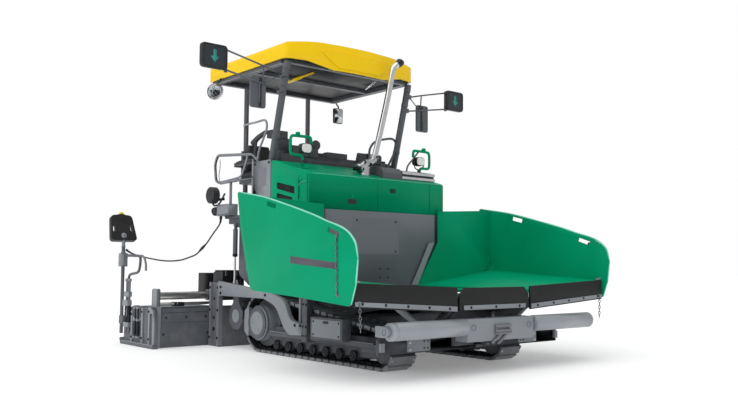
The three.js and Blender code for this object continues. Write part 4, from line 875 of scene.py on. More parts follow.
# ---------------------------------------------------------------- end gates
# Sprung side plates keep the mix in. Each hangs on two jack tubes and a post that carries the console;
# a bent handle lifts it and two wing screws lock the post's clamp.
for side, g in LEFT, RIGHT:
    body = f"screed_extension_{side}"
    dress(f"end_gate_{side}", screed_enamel, 0.002)
    mid = 1.65
    pale, dark, bright, bars = [], [], [], []
    pale.append(bar(-2.15, -2.062, mid - 0.042, mid + 0.042, 0.915, 1.075, 0.012))
    pale.append(bar(-2.075, -2.04, mid - 0.03, mid + 0.03, 0.93, 1.06, 0.006))
    pale.append(spun((-2.105, mid, 1.07), (-2.105, mid, 2), [(0, 0.03), (0.018, 0.03), (0.024, 0.025)], 24))
    for z in (0.955, 1.035):
        bright.append(post((-2.15, mid, z), (-2.176, mid, z), 0.007, 12))
        bright.append(panel("x", mid - 0.028, mid + 0.028, z - 0.006, z + 0.006, -2.184, -2.172, 0.004))
    handle = smooth([(-1.64, mid, 1.044), (-1.56, mid, 1.04), (-1.5, mid, 1.005), (-1.466, mid, 0.94),
                     (-1.462, mid, 0.87)])
    bars.append(tube(handle, 0.0125))
    bars += [post((x, mid, 0.15), (x, mid, 0.74), 0.014) for x in (-1.965, -1.895)]
    pale += [bar(-2.0, -1.86, gate_y0, gate_y1, z0, z1, 0.006) for gate_y0, gate_y1, z0, z1 in
             ((1.632, 1.678, 0.205, 0.26), (1.632, 1.678, 0.56, 0.62), (1.632, 1.69, 0.455, 0.52))]
    for x in (-1.965, -1.895):
        dark.append(spun((x, mid, 0.26), (x, mid, 2), [(0, 0.026)] + [p for k in range(11) for p in
                    ((0.008 + 0.017 * k, 0.026), (0.0165 + 0.017 * k, 0.02))] + [(0.195, 0.026)], 20))
    # the gate's outer face: a folded front post with a window, a rear post, the ski's edge and the spring rods
    pale += [plate("y", outline, 1.636, 1.65) for outline in (
        [(-1.262, 0.036), (-1.222, 0.036), (-1.222, 0.298), (-1.262, 0.42, 0.01)],
        [(-1.372, 0.036), (-1.34, 0.036), (-1.34, 0.462, 0.008), (-1.372, 0.462, 0.008)],
        [(-1.34, 0.39), (-1.262, 0.39), (-1.262, 0.424, 0.01), (-1.34, 0.462, 0.01)],
        [(-1.56, 0.036), (-1.52, 0.036), (-1.52, 0.44, 0.008), (-1.56, 0.44, 0.008)],
        [(-1.84, 0.036), (-1.8, 0.036), (-1.8, 0.4, 0.008), (-1.84, 0.4, 0.008)])]
    pale += [bar(-1.8, -1.56, 1.6352, 1.645, 0.3, 0.33), bar(-2.05, -1.222, 1.6352, 1.668, 0.034, 0.044)]
    for x in (-1.7, -1.62):
        dark.append(post((x, 1.658, 0.11), (x, 1.658, 0.44), 0.009, 16))
        dark.append(spun((x, 1.658, 0.13), (x, 1.658, 2), [(0, 0.012)] + [p for k in range(9) for p in
                    ((0.004 + 0.016 * k, 0.018), (0.012 + 0.016 * k, 0.012))] + [(0.15, 0.012)], 16))
        pale += [bar(x - 0.02, x + 0.02, 1.6352, 1.678, z, z + 0.022, 0.004) for z in (0.095, 0.29, 0.43)]
    dark += [bolt((x, 1.65, z), (0, 1, 0), 0.016) for x, z in ((-1.356, 0.1), (-1.356, 0.41), (-1.54, 0.1),
                                                               (-1.54, 0.4), (-1.82, 0.1), (-1.82, 0.36))]
    pale += [spun((x, mid, 0.74), (x, mid, 2), [(0, 0.024), (0.03, 0.024), (0.034, 0.018)], 6)
             for x in (-1.965, -1.895)]
    piece(f"end_gate_clamps_{side}", sided(pale, g), light_enamel, body, 0.0015)
    piece(f"end_gate_springs_{side}", sided(dark, g), greasy_steel, body, 0)
    piece(f"end_gate_screws_{side}", sided(bright, g), zinc_plate, body, 0.0008)
    piece(f"end_gate_bars_{side}", sided(bars, g), bulkhead_enamel, body, 0)

# ---------------------------------------------------------------- screed consoles
# Moulded glass-filled housings on a ball joint, with a grip slot through each side of the panel, a
# membrane keypad and a yellow knob for the warning lamp on top.
yellow_knob_plastic = moulded("moulded_yellow_knob", "yellow_paint", "#E8D21E", "#DDC712", 0.4, 1.6, 0.03)


def applied(made):
    """A new mesh of the piece as its modifiers leave it."""
    return bpy.data.meshes.new_from_object(made.evaluated_get(bpy.context.evaluated_depsgraph_get()))


def cut_through(made, cutters):
    """Takes solid shapes out of a piece and keeps the result."""
    corners, faces = joined(cutters)
    mesh = bpy.data.meshes.new("cutter")
    mesh.from_pydata(corners, [], faces)
    cutter = bpy.data.objects.new("cutter", mesh)
    in_scene.link(cutter)
    shell = bmesh.new()
    shell.from_mesh(mesh)
    bmesh.ops.recalc_face_normals(shell, faces=shell.faces)
    shell.to_mesh(mesh)
    shell.free()
    edges = made.modifiers.get("eased edges")
    if edges:
        edges.show_viewport = False
    hole = made.modifiers.new("openings", "BOOLEAN")
    hole.operation, hole.solver, hole.object = "DIFFERENCE", "EXACT", cutter
    made.data = applied(made)
    made.modifiers.remove(hole)
    bpy.data.objects.remove(cutter)
    if edges:
        edges.show_viewport = True


tilt = Matrix.Translation((-2.105, 0, 1.2204)) @ Matrix.Rotation(-0.35, 4, "Y")
leaned = lambda shape: ([tuple(tilt @ Vector(c)) for c in shape[0]], shape[1])
for side, g in LEFT, RIGHT:
    body, mid = f"screed_extension_{side}", 1.65
    outline = [(mid - 0.165, 0.0, 0.045), (mid + 0.165, 0.0, 0.045), (mid + 0.132, 0.33, 0.05),
               (mid + 0.045, 0.333, 0.02), (mid + 0.038, 0.34, 0.01), (mid - 0.038, 0.34, 0.01),
               (mid - 0.045, 0.333, 0.02), (mid - 0.132, 0.33, 0.05)]
    housing = piece(f"console_housing_{side}", [on_side(leaned(plate("x", outline, -0.03, 0.03)), g)],
                    black_nylon, body, 0.006)
    slots = [on_side(leaned(plate("x", [(y0, 0.115, 0.014), (y0 + 0.034, 0.115, 0.014),
                                        (y1 + 0.034, 0.2, 0.014), (y1, 0.2, 0.014)], -0.06, 0.06)), g)
             for y0, y1 in ((mid - 0.128, mid - 0.12), (mid + 0.094, mid + 0.086))]
    cut_through(housing, slots)
    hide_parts(f"console_panel_{side}")
    keys = [leaned(panel("x", mid - 0.07, mid + 0.07, 0.1, 0.26, -0.0325, -0.03, 0.01))]
    keys += [leaned(panel("x", mid - 0.055 + 0.03 * i, mid - 0.035 + 0.03 * i, 0.115 + 0.028 * j, 0.133 + 0.028 * j,
                          -0.0345, -0.0325, 0.004)) for i in range(4) for j in range(3)]
    piece(f"console_keypad_{side}", sided(keys, g), bulkhead_enamel, body, 0.0006)
    neck = [spun((-2.105, mid, 1.1504), (-2.105, mid, 2), [(0, 0.027), (0.01, 0.027), (0.012, 0.02), (0.05, 0.02),
                                                           (0.06, 0.026), (0.075, 0.028), (0.09, 0.026)], 28),
            spun(tuple(tilt @ Vector((0.03, mid, 0.06))), tuple(tilt @ Vector((1, mid, 0.06))),
                 [(0, 0.034), (0.008, 0.034), (0.016, 0.022), (0.018, 0.01)], 28)]
    piece(f"console_neck_{side}", sided(neck, g), light_enamel, body, 0.0006)
    knob = [(-0.002, 0.016), (0.005, 0.016), (0.007, 0.026), (0.028, 0.026), (0.036, 0.021), (0.04, 0.01)]
    start, far = tilt @ Vector((0, mid - 0.012, 0.339)), tilt @ Vector((0, mid - 0.012, 9))
    piece(f"console_knob_{side}", [on_side(spun(start, far, knob, 24), g)], yellow_knob_plastic, body, 0)

# ---------------------------------------------------------------- platform and boxes behind the seats
# The operator's floor is folded plate with a rolled chequer surface, bolted over the tanks. Grey boxes
# at its rear corners hold the hydraulic couplings and carry a small round lamp.
dress("platform", dark_enamel, 0.004)
floor_top, tread_top = 1.51, 1.514
floor_parts = [plate("z", [(-0.36, 0.215), (-0.36, 0.885), (-1.03, 0.885, 0.05), (-1.045, 0.55), (-1.345, 0.55, 0.05),
                           (-1.345, -0.55, 0.05), (-1.045, -0.55), (-1.03, -0.885, 0.05), (-0.36, -0.885),
                           (-0.36, -0.215), (-1.034, -0.215), (-1.034, 0.215)], floor_top, floor_top + 0.0025),
               bar(-1.029, -0.351, -0.209, 0.209, tread_top, tread_top + 0.002)]
piece("floor_treads", floor_parts, chequer_plate, ease=0)
lamp_black, coils = [], []
for g in (1, -1):
    lamp_black.append(spun((-1.15, g * 0.9, 1.585), (-1.25, g * 0.935, 1.56),
                           [(0, 0.03), (0.008, 0.046), (0.06, 0.052), (0.074, 0.048)], 28))
    lamp_black.append(bar(-1.15, -1.075, g * 0.905 - 0.012, g * 0.905 + 0.012, 1.545, 1.565))
    hub, far = Vector((-1.235, g * 0.885, 1.765)), Vector((-1.235, g * 9, 1.765))
    ribs = [p for k in range(4) for p in ((0.014 + 0.017 * k, 0.1), (0.022 + 0.017 * k, 0.093))]
    drum = [(0, 0.03), (0.004, 0.092), (0.012, 0.1), *ribs, (0.084, 0.1), (0.094, 0.09), (0.097, 0.03)]
    coils.append(spun(hub, far, drum, 40))
    coils.append(tube(smooth([(-1.235, g * 0.935, 1.672), (-1.18, g * 0.94, 1.64), (-1.11, g * 0.93, 1.65),
                              (-1.07, g * 0.91, 1.7), (-1.03, g * 0.89, 1.78)]), 0.011, 10))
    coils.append(bar(-1.245, -1.06, g * 0.88 - 0.008, g * 0.88 + 0.008, 1.7, 1.73))
piece("corner_lamps", lamp_black, black_nylon, ease=0.0015)
piece("air_cleaners", coils, black_nylon, ease=0.0012)
shelf = both_sides([bar(-1.0825, -0.7975, 0.8475, 0.9675, 1.64, 1.644, 0.01),
                    panel("y", -1.06, -0.82, 1.53, 1.62, 0.965, 0.9675, 0.01)])
piece("coupling_box_lids", shelf, light_enamel, ease=0.001)

# ---------------------------------------------------------------- hood and its doors
# Deep-drawn and folded sheet in the same gloss green. Seams part the front into panels, a louvred door
# opens on each side, and a flush paddle latch holds each one.
dress("hood", green_enamel, 0.006)
# Lighter green: painted highlights on thin tubes along the hood's side crease and top edges.
hood_highlight_paint = enamel("painted_highlight_hood_edge", "green_paint", "#3DBB95", "#2FAE88", 0.28,
                          coat=0.4, dusty=0.0)
# Dark green: painted shade in the hood's seam gaps and in the vent's recess.
shadow_gap = moulded("painted_gap_shade", "green_paint", "#03422F", "#023A29", 0.8, 3.0, 0.02)
hood_face, hood_side = 0.733, 0.947
hood_nose, hood_back = 1.88, 2.065
slope = (hood_back - hood_nose) / (0.733 - 0.04 - 0.04)
hood_z = lambda x: min(hood_back, hood_nose + slope * (hood_face - x))
seams = []
for y in (-0.04, 0.73):
    seams.append(bar(hood_face - 0.001, hood_face + 0.0008, y - 0.0022, y + 0.0022, 1.535, 1.862))
    seams.append(plate("y", [(hood_face - 0.012, hood_z(hood_face - 0.012) + 0.0008), (0.1, hood_z(0.1) + 0.0008),
                             (0.1, hood_z(0.1) - 0.001), (hood_face - 0.012, hood_z(hood_face - 0.012) - 0.001)],
                             y - 0.0022, y + 0.0022))
for g in (1, -1):
    seams.append(on_side(bar(0.7, 0.714, hood_side - 0.001, hood_side + 0.0008, 1.535, 1.868), g))
piece("hood_seams", seams, shadow_gap, ease=0)
piece("hood_latch", [
    panel("x", -0.445, -0.335, 1.59, 1.64, hood_face, hood_face + 0.003, 0.01),
], black_nylon, ease=0.001)
# the dark green vent panel is painted shade of its recess
piece("hood_vent", [panel("x", 0.13, 0.215, 1.735, 1.785, hood_face, hood_face + 0.004, 0.012)],
      shadow_gap, ease=0.001)
piece("hood_latch_plates", [
    panel("x", 0.11, 0.235, 1.72, 1.8, hood_face, hood_face + 0.0015, 0.012),
    spun((hood_face, -0.39, 1.672), (2, -0.39, 1.672), [(0, 0.016), (0.004, 0.016), (0.005, 0.013)], 24),
], green_enamel, ease=0.0006)
# thin tubes along the side crease and the top edges carry the painted highlights
crease = [(0.557, 0.948, 1.72), (0.562, 0.95, 1.759), (0.58, 0.95, 1.778), (0.602, 0.95, 1.787),
          (0.682, 0.948, 1.797)]
top_edge = [(0.06, 0.938, hood_z(0.06) - 0.006), (0.3, 0.94, hood_z(0.3) - 0.006), (0.7, 0.94, hood_z(0.7) - 0.006)]
creases = both_sides([tube(smooth(crease), 0.0045, 8), tube(top_edge, 0.0065, 8)])
creases.append(tube([(0.727, -0.9, hood_z(0.727) - 0.006), (0.727, 0.9, hood_z(0.727) - 0.006)], 0.0055, 8))
piece("hood_edges", creases, hood_highlight_paint, ease=0)
block_faces = [(0, 1, 2, 3), (7, 6, 5, 4), (0, 4, 5, 1), (1, 5, 6, 2), (2, 6, 7, 3), (3, 7, 4, 0)]
for side, g in LEFT, RIGHT:
    body = nodes[f"hood_door_{side}"]["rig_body"]
    skin = [panel("y", 0.126, 0.554, 1.571, 1.854, 0.926, 0.9465, 0.012),
            plate("y", [(0.114, 1.56, 0.02), (0.554, 1.56, 0.012), (0.554, 1.866, 0.012), (0.114, 1.866, 0.04)],
                  0.947, 0.9488)]
    strap = [bar(0.5, 0.554, 0.945, 0.95, 1.626, 1.799)]
    knuckle = [post((0.556, 0.955, 1.6258), (0.556, 0.955, 1.7992), 0.008, 16)]
    door = piece(f"hood_door_skin_{side}", sided(skin, g), green_enamel, body, 0.003)
    upper_slot = [(0.155, 1.822, 0.014), (0.155, 1.752, 0.014), (0.48, 1.676, 0.014), (0.48, 1.752, 0.014)]
    lower_slot = [(0.155, 1.708, 0.014), (0.155, 1.636, 0.014), (0.43, 1.6, 0.014), (0.455, 1.64, 0.014)]
    cut_through(door, [on_side(plate("y", s, 0.9, 0.97), g) for s in (upper_slot, lower_slot)])
    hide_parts(f"hood_door_{side}")
    piece(f"hood_door_hinge_{side}", sided(strap + knuckle, g), green_enamel, body, 0.001)
    slats = []
    for outline, count in ((upper_slot, 4), (lower_slot, 4)):
        (x0, top0), (_, low1), (x2, low2), (_, top3) = (p[:2] for p in outline)
        for k in range(count):
            share = (k + 0.5) / count
            za, zb = low1 + (top0 - low1) * share, low2 + (top3 - low2) * share
            slats.append(([(x, y, z + dz) for x, z in ((x0 - 0.004, za), (x2 + 0.004, zb)) for y, dz in
                           ((0.9275, 0.012), (0.943, -0.004), (0.943, -0.008), (0.9275, 0.008))], block_faces))
    # a black sheet just behind the slots: painted shade inside the hood
    slot_shade_sheet = [panel("y", 0.14, 0.5, 1.585, 1.835, 0.9262, 0.9272)]
    piece(f"hood_louvres_{side}", sided(slats + slot_shade_sheet, g), black_nylon, body, 0)

# ---------------------------------------------------------------- exhaust and the gear behind the hood
# The stack is polished stainless tube on a bright cast elbow, ending in a dark turned-out tip. Beside it
# lie the intake box and the slatted radiator outlet, and a bent rail guards the elbow.
polished_steel = bare_metal("polished_stainless_tube", "exhaust_chrome", "#E2E3E5", "#D3D4D7", 0.13, 2.0, 0.01)
cast_silver = bare_metal("bright_cast_elbow", "exhaust_chrome", "#C9CACD", "#B2B4B8", 0.3, 6.0, 0.1)
sooty_steel = bare_metal("heat_darkened_tip", "exhaust_chrome", "#4A4C50", "#38393C", 0.45, 3.0, 0.06)
stack_x = 0.5


def across_at(x, points):
    """A smooth curve through (y, z) points, all at one x."""
    return smooth([(x, y, z) for y, z in points])


run = [(-0.015, 2.055), (0.045, 2.075), (0.085, 2.1), (0.109, 2.15), (0.216, 2.53), (0.31, 2.89), (0.362, 3.12),
       (0.385, 3.19), (0.425, 3.232), (0.45, 3.246)]
pipe = piece("exhaust_stack", [tube(across_at(stack_x, run), 0.0335, 32)], polished_steel, ease=0)
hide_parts("exhaust_pipe")
tip = across_at(stack_x, [(0.44, 3.24), (0.462, 3.256), (0.484, 3.276), (0.494, 3.29)])
piece("exhaust_tip", [tube(tip, lambda s: 0.036 + 0.01 * min(1, 2 * s), 32)], sooty_steel, ease=0.001)
elbow = across_at(stack_x, [(-0.112, 2.006), (-0.085, 2.022), (-0.03, 2.058), (0.035, 2.08),
                            (0.082, 2.108), (0.11, 2.16)])
flanges = [spun((stack_x, -0.128, 1.999), (stack_x, -0.03, 2.058),
                [(-0.004, 0.03), (0, 0.044), (0.004, 0.052), (0.018, 0.056), (0.022, 0.05)], 32),
           spun((stack_x, 0.1, 2.128), (stack_x, 0.216, 2.53),
                [(0, 0.04), (0.002, 0.046), (0.03, 0.046), (0.032, 0.038)], 32)]
piece("exhaust_elbow", [tube(elbow, lambda s: 0.05 - 0.011 * s, 32), *flanges,
                        spun((stack_x, -0.03, 1.9), (stack_x, -0.03, 3),
                             [(0, 0.058), (0.09, 0.058), (0.12, 0.054), (0.15, 0.04)], 32)],
      cast_silver, ease=0.001)
clamp = [bolt((0.546, 0.108, 2.145), (1, 0, 0), 0.014), bar(0.44, 0.56, -0.155, -0.12, 1.985, 2.02, 0.008)]
clamp += [bolt((0.545, y, z), (1, 0, 0), 0.016) for y, z in ((-0.06, 2.075), (0.02, 2.06), (-0.09, 2.0))]
piece("exhaust_clamp", clamp, greasy_steel, ease=0)
frame_enamel = enamel("charcoal_satin_enamel", "dark_paint", "#5A5D63", "#515459", 0.42, dusty=0.0)
intake = [plate("y", [(0.36, hood_z(0.36) - 0.01), (0.64, hood_z(0.64) - 0.01), (0.64, 1.972, 0.01),
                      (0.6, 2.03, 0.02), (0.36, 2.062, 0.02)], 0.12, 0.4)]
piece("intake_box", intake, frame_enamel, ease=0.006)
vents = [plate("y", [(0.53, hood_z(0.53) + dz), (0.62, hood_z(0.62) + dz), (0.62, hood_z(0.62) + dz + 0.03, 0.006),
                     (0.53, hood_z(0.53) + dz + 0.03, 0.006)], 0.42, 0.93)
         for dz in (0.008, 0.062)]
piece("outlet_slats", vents, polished_steel, ease=0.003)
# A black sheet behind and between the slats: painted shade in their gaps.
piece("outlet_gap_shade", [plate("y", [(0.5, hood_z(0.5) - 0.01), (0.606, hood_z(0.606) - 0.01),
                                   (0.606, hood_z(0.606) + 0.058), (0.5, hood_z(0.5) + 0.075)], 0.425, 0.925)],
      black_nylon, ease=0.003)
guard = [tube(across_at(0.02, [(0.44, 2.06), (0.432, 2.24), (0.45, 2.335), (0.525, 2.415), (0.68, 2.462),
                               (0.795, 2.476), (0.85, 2.43), (0.822, 2.3), (0.745, 2.165), (0.715, 2.065)]), 0.014)]
piece("stack_guard_rail", guard, frame_enamel, ease=0)

# ---------------------------------------------------------------- operator's desk
# A vacuum-formed black housing across the platform, with padded edges, a slanted display pod, rows of
# film keys, two levers with rubber gaiters and a grip at each end.
desk_plastic = moulded("grained_grey_abs", "black_plastic", "#404247", "#37393E", 0.48, 2.0, 0.06)
dress("operator_console", desk_plastic, 0.008)
screen_glass, tree, shader, place = started("display_glass", "black_plastic")
constants(shader, {"Base Color": linear("#0E1116"), "Coat Weight": 0.6})
tree.links.new(spread(tree, speckle(tree, place, 60), 0.3, 0.7, 0.08, 0.2), shader.inputs["Roughness"])
desk_slope = lambda x: 2.09 + (x + 0.302) * (0.09 / 0.27)
lay_on = lambda x0, x1, y0, y1, up, thick: joined([plate("y", [
    (x0, desk_slope(x0) + up), (x1, desk_slope(x1) + up), (x1, desk_slope(x1) + up + thick, 0.003),
    (x0, desk_slope(x0) + up + thick, 0.003)], y0, y1)])
pods, keys, levers, gaiters = [], [], [], []
for middle in (-0.47, 0.47):
    pods.append(plate("y", [(-0.09, 2.14), (0.005, 2.15), (0.005, 2.255, 0.02), (-0.045, 2.275, 0.02)],
                      middle - 0.17, middle + 0.17))
    keys += [lay_on(-0.27 + 0.05 * i, -0.235 + 0.05 * i, middle - 0.2 + 0.05 * j, middle - 0.165 + 0.05 * j,
                    0.001, 0.006)
             for i in range(3) for j in range(3)]
    spot = Vector((-0.2, middle + 0.12, desk_slope(-0.2)))
    gaiters.append(spun(spot, spot + Vector((-0.1, 0, 1)), [(0, 0.045), (0.012, 0.04), (0.018, 0.034), (0.026, 0.036),
                                                            (0.034, 0.026), (0.044, 0.028), (0.054, 0.014)], 24))
    levers.append(spun(spot + Vector((-0.005, 0, 0.05)), spot + Vector((-0.1, 0, 1.0)),
                       [(0, 0.009), (0.055, 0.009), (0.062, 0.02), (0.115, 0.024), (0.13, 0.016)], 20))
pods.append(bar(-0.12, -0.03, -0.15, 0.15, 2.16, 2.235, 0.02))
pods += [bar(-0.25, -0.06, g * 0.73 - 0.04, g * 0.73 + 0.04, 2.13, 2.205, 0.03) for g in (1, -1)]
pods += [bar(-0.235, -0.12, -0.84, -0.622, 2.345, 2.43, 0.02),
         plate("y", [(-0.19, 2.13), (-0.13, 2.13), (-0.13, 2.35), (-0.17, 2.35)], -0.75, -0.565)]
pods.append(spun((-0.13, -0.255, 2.31), (1.0, -0.255, 2.36),
                 [(-0.03, 0.03), (0.0, 0.052), (0.03, 0.058), (0.045, 0.05)], 28))
pods.append(post((-0.13, -0.255, 2.16), (-0.13, -0.255, 2.3), 0.022))
piece("desk_pods", pods, desk_plastic, ease=0.008)
piece("desk_keys", keys, light_enamel, ease=0.0015)
piece("desk_gaiters", gaiters, belting, ease=0)
piece("desk_levers", levers, black_nylon, ease=0.001)
screens = [([(-0.0905, m - 0.14, 2.155), (-0.0905, m + 0.14, 2.155), (-0.0545, m + 0.14, 2.258),
             (-0.0545, m - 0.14, 2.258), (-0.0855, m - 0.14, 2.153), (-0.0855, m + 0.14, 2.153),
             (-0.0495, m + 0.14, 2.256),
             (-0.0495, m - 0.14, 2.256)], block_faces) for m in (-0.47, 0.47)]
piece("desk_screens", screens, screen_glass, ease=0)

# ---------------------------------------------------------------- seats
# Suspension seats: a pressed steel frame, and foam pads in black vinyl with a piped edge and two sewn
# flutes across the back. The pads are blown up by simulation, then the piping is sewn on.
seat_vinyl, tree, shader, place = started("grained_black_vinyl", "seat_vinyl")
creased = spread(tree, speckle(tree, place, 150, 4), 0.35, 0.65)
tree.links.new(between(tree, creased, "#2B2B2F", "#232327"), shader.inputs["Base Color"])
pores = put(tree, "ShaderNodeTexVoronoi",
            {"Vector": place, "Scale": 1000 / 3.0}).outputs["Distance"]  # 3 mm, coarse enough to see
tree.links.new(spread(tree, pores, 0.0, 0.5, 0.42, 0.6), shader.inputs["Roughness"])
shader.inputs["Sheen Weight"].default_value = 0.1
bumped(tree, shader, pores, 0.25, 0.5)
seat_y, seat_x, seat_wide = 0.47, -0.8, 0.218


def pad(name, outline, half_width, g, cap_mm):
    """A foam pad from its side outline, narrower towards the head and swollen a little, as upholstered."""
    made = piece(name, [plate("y", outline, g * seat_y - half_width, g * seat_y + half_width)], seat_vinyl, ease=0)
    for spot in made.data.vertices:
        spot.co.y = g * seat_y + (spot.co.y - g * seat_y) * (1 - max(0.0, spot.co.z - 2.1) * 1.1)
    skin = made.modifiers.new("foam", "REMESH")
    skin.mode, skin.voxel_size = "VOXEL", 0.011
    made.data = applied(made)
    made.modifiers.clear()
    start = [v.co.copy() for v in made.data.vertices]
    blown = made.modifiers.new("stuffing", "CLOTH")
    blown.settings.use_pressure, blown.settings.uniform_pressure_force = True, 4.0
    blown.settings.effector_weights.gravity = 0
    blown.settings.quality = 4
    last_frame = 20
    blown.point_cache.frame_start, blown.point_cache.frame_end = 1, last_frame
    for step in range(1, last_frame + 1):
        bpy.context.scene.frame_set(step)
    swollen = applied(made)
    bpy.context.scene.frame_set(1)
    made.modifiers.clear()
    for spot, before, after in zip(made.data.vertices, start, swollen.vertices):
        move = after.co - before
        spot.co = before + move * min(1.0, cap_mm / 1000 / max(move.length, 1e-6))
    relax = made.modifiers.new("evened foam", "SMOOTH")
    relax.iterations, relax.factor = 6, 0.5
    made.data = applied(made)
    made.modifiers.clear()
    soften(made, seat_vinyl, 0)
    finer = made.modifiers.new("skin", "SUBSURF")
    finer.levels = finer.render_levels = 1
    return made


for side, g in LEFT, RIGHT:
    dress(f"seat_frame_{side}", frame_enamel, 0.004)
    squab = pad(f"seat_squab_{side}", [(seat_x - 0.205, 1.944, 0.02), (seat_x + 0.228, 1.944, 0.03),
                                       (seat_x + 0.236, 2.03, 0.03), (seat_x + 0.1, 2.046, 0.05),
                                       (seat_x - 0.205, 2.028, 0.02)],
                seat_wide - 0.012, g, 10)
    backrest = pad(f"seat_backrest_{side}", [(seat_x - 0.222, 2.052, 0.02), (seat_x - 0.128, 2.052, 0.02),
                                             (seat_x - 0.142, 2.23, 0.06), (seat_x - 0.158, 2.384, 0.03),
                                             (seat_x - 0.224, 2.384, 0.03)],
                   seat_wide - 0.012, g, 9)
    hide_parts(f"seat_cushion_{side}")
    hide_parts(f"seat_cushion_{side}")
    edge = seat_wide - 0.008
    piping = [tube([(seat_x + x, g * seat_y + y, z) for x, y, z in
                    [(-0.2, -edge, 1.998), (0.15, -edge, 1.998), (0.215, -edge + 0.02, 1.998),
                     (0.238, -edge + 0.06, 1.998), (0.238, edge - 0.06, 1.998), (0.215, edge - 0.02, 1.998),
                     (0.15, edge, 1.998),
                     (-0.2, edge, 1.998)]], 0.0035, 8)]
    piping += [tube([(seat_x - 0.133 - 0.05 * (z - 2.05), g * seat_y - edge * 0.76, z),
                     (seat_x - 0.133 - 0.05 * (z - 2.05), g * seat_y + edge * 0.76, z)], 0.003, 8)
               for z in (2.18, 2.29)]
    piece(f"seat_piping_{side}", piping, seat_vinyl, ease=0)
    rests = [tube(smooth([(seat_x + x, g * seat_y + s * 0.268, z) for x, z in
                          ((-0.22, 2.14), (-0.12, 2.146), (0.06, 2.148), (0.125, 2.14))]),
                  lambda share: 0.027 - 0.005 * abs(2 * share - 1) ** 4, 16) for s in (1, -1)]
    piece(f"seat_armrests_{side}", rests, seat_vinyl, ease=0.003)

# ---------------------------------------------------------------- side rails and guard plates
# Bent 34 mm steel tube in light grey enamel round each side of the platform, a folded grey plate beside
# the desk with a bare label panel, and a second thin hand rail up to the roof post.
for side, g in LEFT, RIGHT:
    dress(f"side_rail_{side}", light_enamel, 0.002)
rail_y = 0.865
grab = [(-1.28, 0.497, 2.655), (-0.9, 0.69, 2.6), (-0.43, 0.85, 2.548), (-0.27, rail_y, 2.547),
        (-0.205, rail_y, 2.53), (-0.185, rail_y, 2.47), (-0.205, rail_y, 2.41), (-0.26, rail_y, 2.33),
        (-0.325, rail_y, 2.24), (-0.358, rail_y, 2.14),
        (-0.383, rail_y, 2.0), (-0.408, rail_y, 1.732), (-0.41, rail_y, 1.53)]
inner_bend = [(-1.18, rail_y, 1.922), (-0.95, rail_y, 1.935), (-0.753, rail_y, 1.951), (-0.69, rail_y, 1.985),
              (-0.64, rail_y, 2.06), (-0.6, rail_y, 2.13), (-0.576, rail_y, 2.205)]
arm_rest = [(-0.68, 0.735, 2.345), (-0.57, 0.735, 2.4), (-0.43, 0.735, 2.44), (-0.39, 0.735, 2.452)]
thin_rails = both_sides([tube(smooth(inner_bend), 0.0125),
                         tube([(-0.458, rail_y, 2.13), (-0.455, rail_y, 1.53)], 0.014)])
thin_rails.append(on_side(tube(smooth(grab), 0.0125), -1))
controls = [tube(smooth(arm_rest), lambda s: 0.034 - 0.012 * s, 16),
            post((-0.64, 0.735, 2.16), (-0.61, 0.735, 2.37), 0.016)]
piece("seat_side_controls", sided(controls, -1), desk_plastic, ease=0.002)
piece("hand_rails", thin_rails, light_enamel, ease=0)
piece("guard_label_plates", both_sides([panel("y", -0.225, -0.075, 1.8, 2.0, 0.938, 0.9392, 0.012)]),
      bulkhead_enamel, ease=0.0005)
piece("guard_plate_bolts", both_sides([bolt((x, 0.938, z), (0, 1, 0), 0.016) for x in (-0.3, -0.02)
                                       for z in (1.55, 2.05)]), greasy_steel, ease=0)
straps = both_sides([tube(smooth([(-1.2, 0.865, 2.19), (-1.19, 0.87, 2.1), (-1.21, 0.872, 2.0),
                                  (-1.19, 0.868, 1.93)]), 0.004, 8)])
piece("rail_straps", straps, black_nylon, ease=0)

# ---------------------------------------------------------------- roof posts and frame
# Welded round tube and flat bar in charcoal enamel. The front posts lean back over the desk; clamps hold
# the lights' arms, and two gas struts help the roof fold down for transport.
dress("roof_frame", frame_enamel, 0.003)
shell_yellow = enamel("yellow_gloss_gelcoat", "yellow_paint", "#FFD408", "#FBCD04", 0.3, coat=0.1,
                      dusty=0.0, shine=0.2)
lean = lambda z: 0.216 - (3.125 - z) * 0.264  # x of the front posts' middle at a height
collars = both_sides([spun((lean(z), 0.875, z), (lean(z + 1), 0.875, z + 1),
                           [(0, 0.0385), (0.002, 0.042), (0.038, 0.042), (0.04, 0.0385)], 28)
                      for z in (1.6, 2.3, 2.86, 3.04)])
feet = both_sides([bar(-0.245, -0.13, 0.825, 0.925, 1.5125, 1.5245, 0.02),
                   bar(-1.345, -1.215, 0.4, 0.528, 1.5125, 1.5245, 0.02)])
sleeves = both_sides([post((lean(1.53), 0.875, 1.53), (lean(3.12), 0.875, 3.12), 0.0385, 28)])
piece("post_collars", collars + sleeves, frame_enamel, ease=0)
piece("post_feet", feet, frame_enamel, ease=0.002)
foot_bolts = both_sides([bolt((x, y, 1.5245), (0, 0, 1), 0.018) for x, y in
                         ((-0.228, 0.842), (-0.147, 0.842), (-0.228, 0.908), (-0.147, 0.908), (-1.328, 0.417),
                          (-1.232, 0.417), (-1.328, 0.511), (-1.232, 0.511))])
piece("post_foot_bolts", foot_bolts, greasy_steel, ease=0)
struts = [tube([(-0.605, -0.305, 3.12), (-0.11, -0.298, 3.142)], 0.012),
          tube([(-0.605, -0.305, 3.12), (-0.35, -0.301, 3.131)], 0.02)]
piece("roof_strut_yellow", struts, shell_yellow, ease=0)
piece("roof_strut_chromed", [tube([(-0.335, 0.668, 3.13), (0.15, 0.52, 3.19)], 0.008),
                             tube([(-0.335, 0.668, 3.13), (-0.09, 0.593, 3.16)], 0.014)],
      hard_chrome, ease=0)

# ---------------------------------------------------------------- roof shell
# Glass-fibre laminate with a glossy yellow gel coat: rounded shoulders, a shallow panel sunk in each
# side, a raised bare name panel across the front, and a moulded dark liner glued in underneath.
dress("roof_canopy", shell_yellow, 0.014)
roof_rear, roof_half = -1.4, 0.93


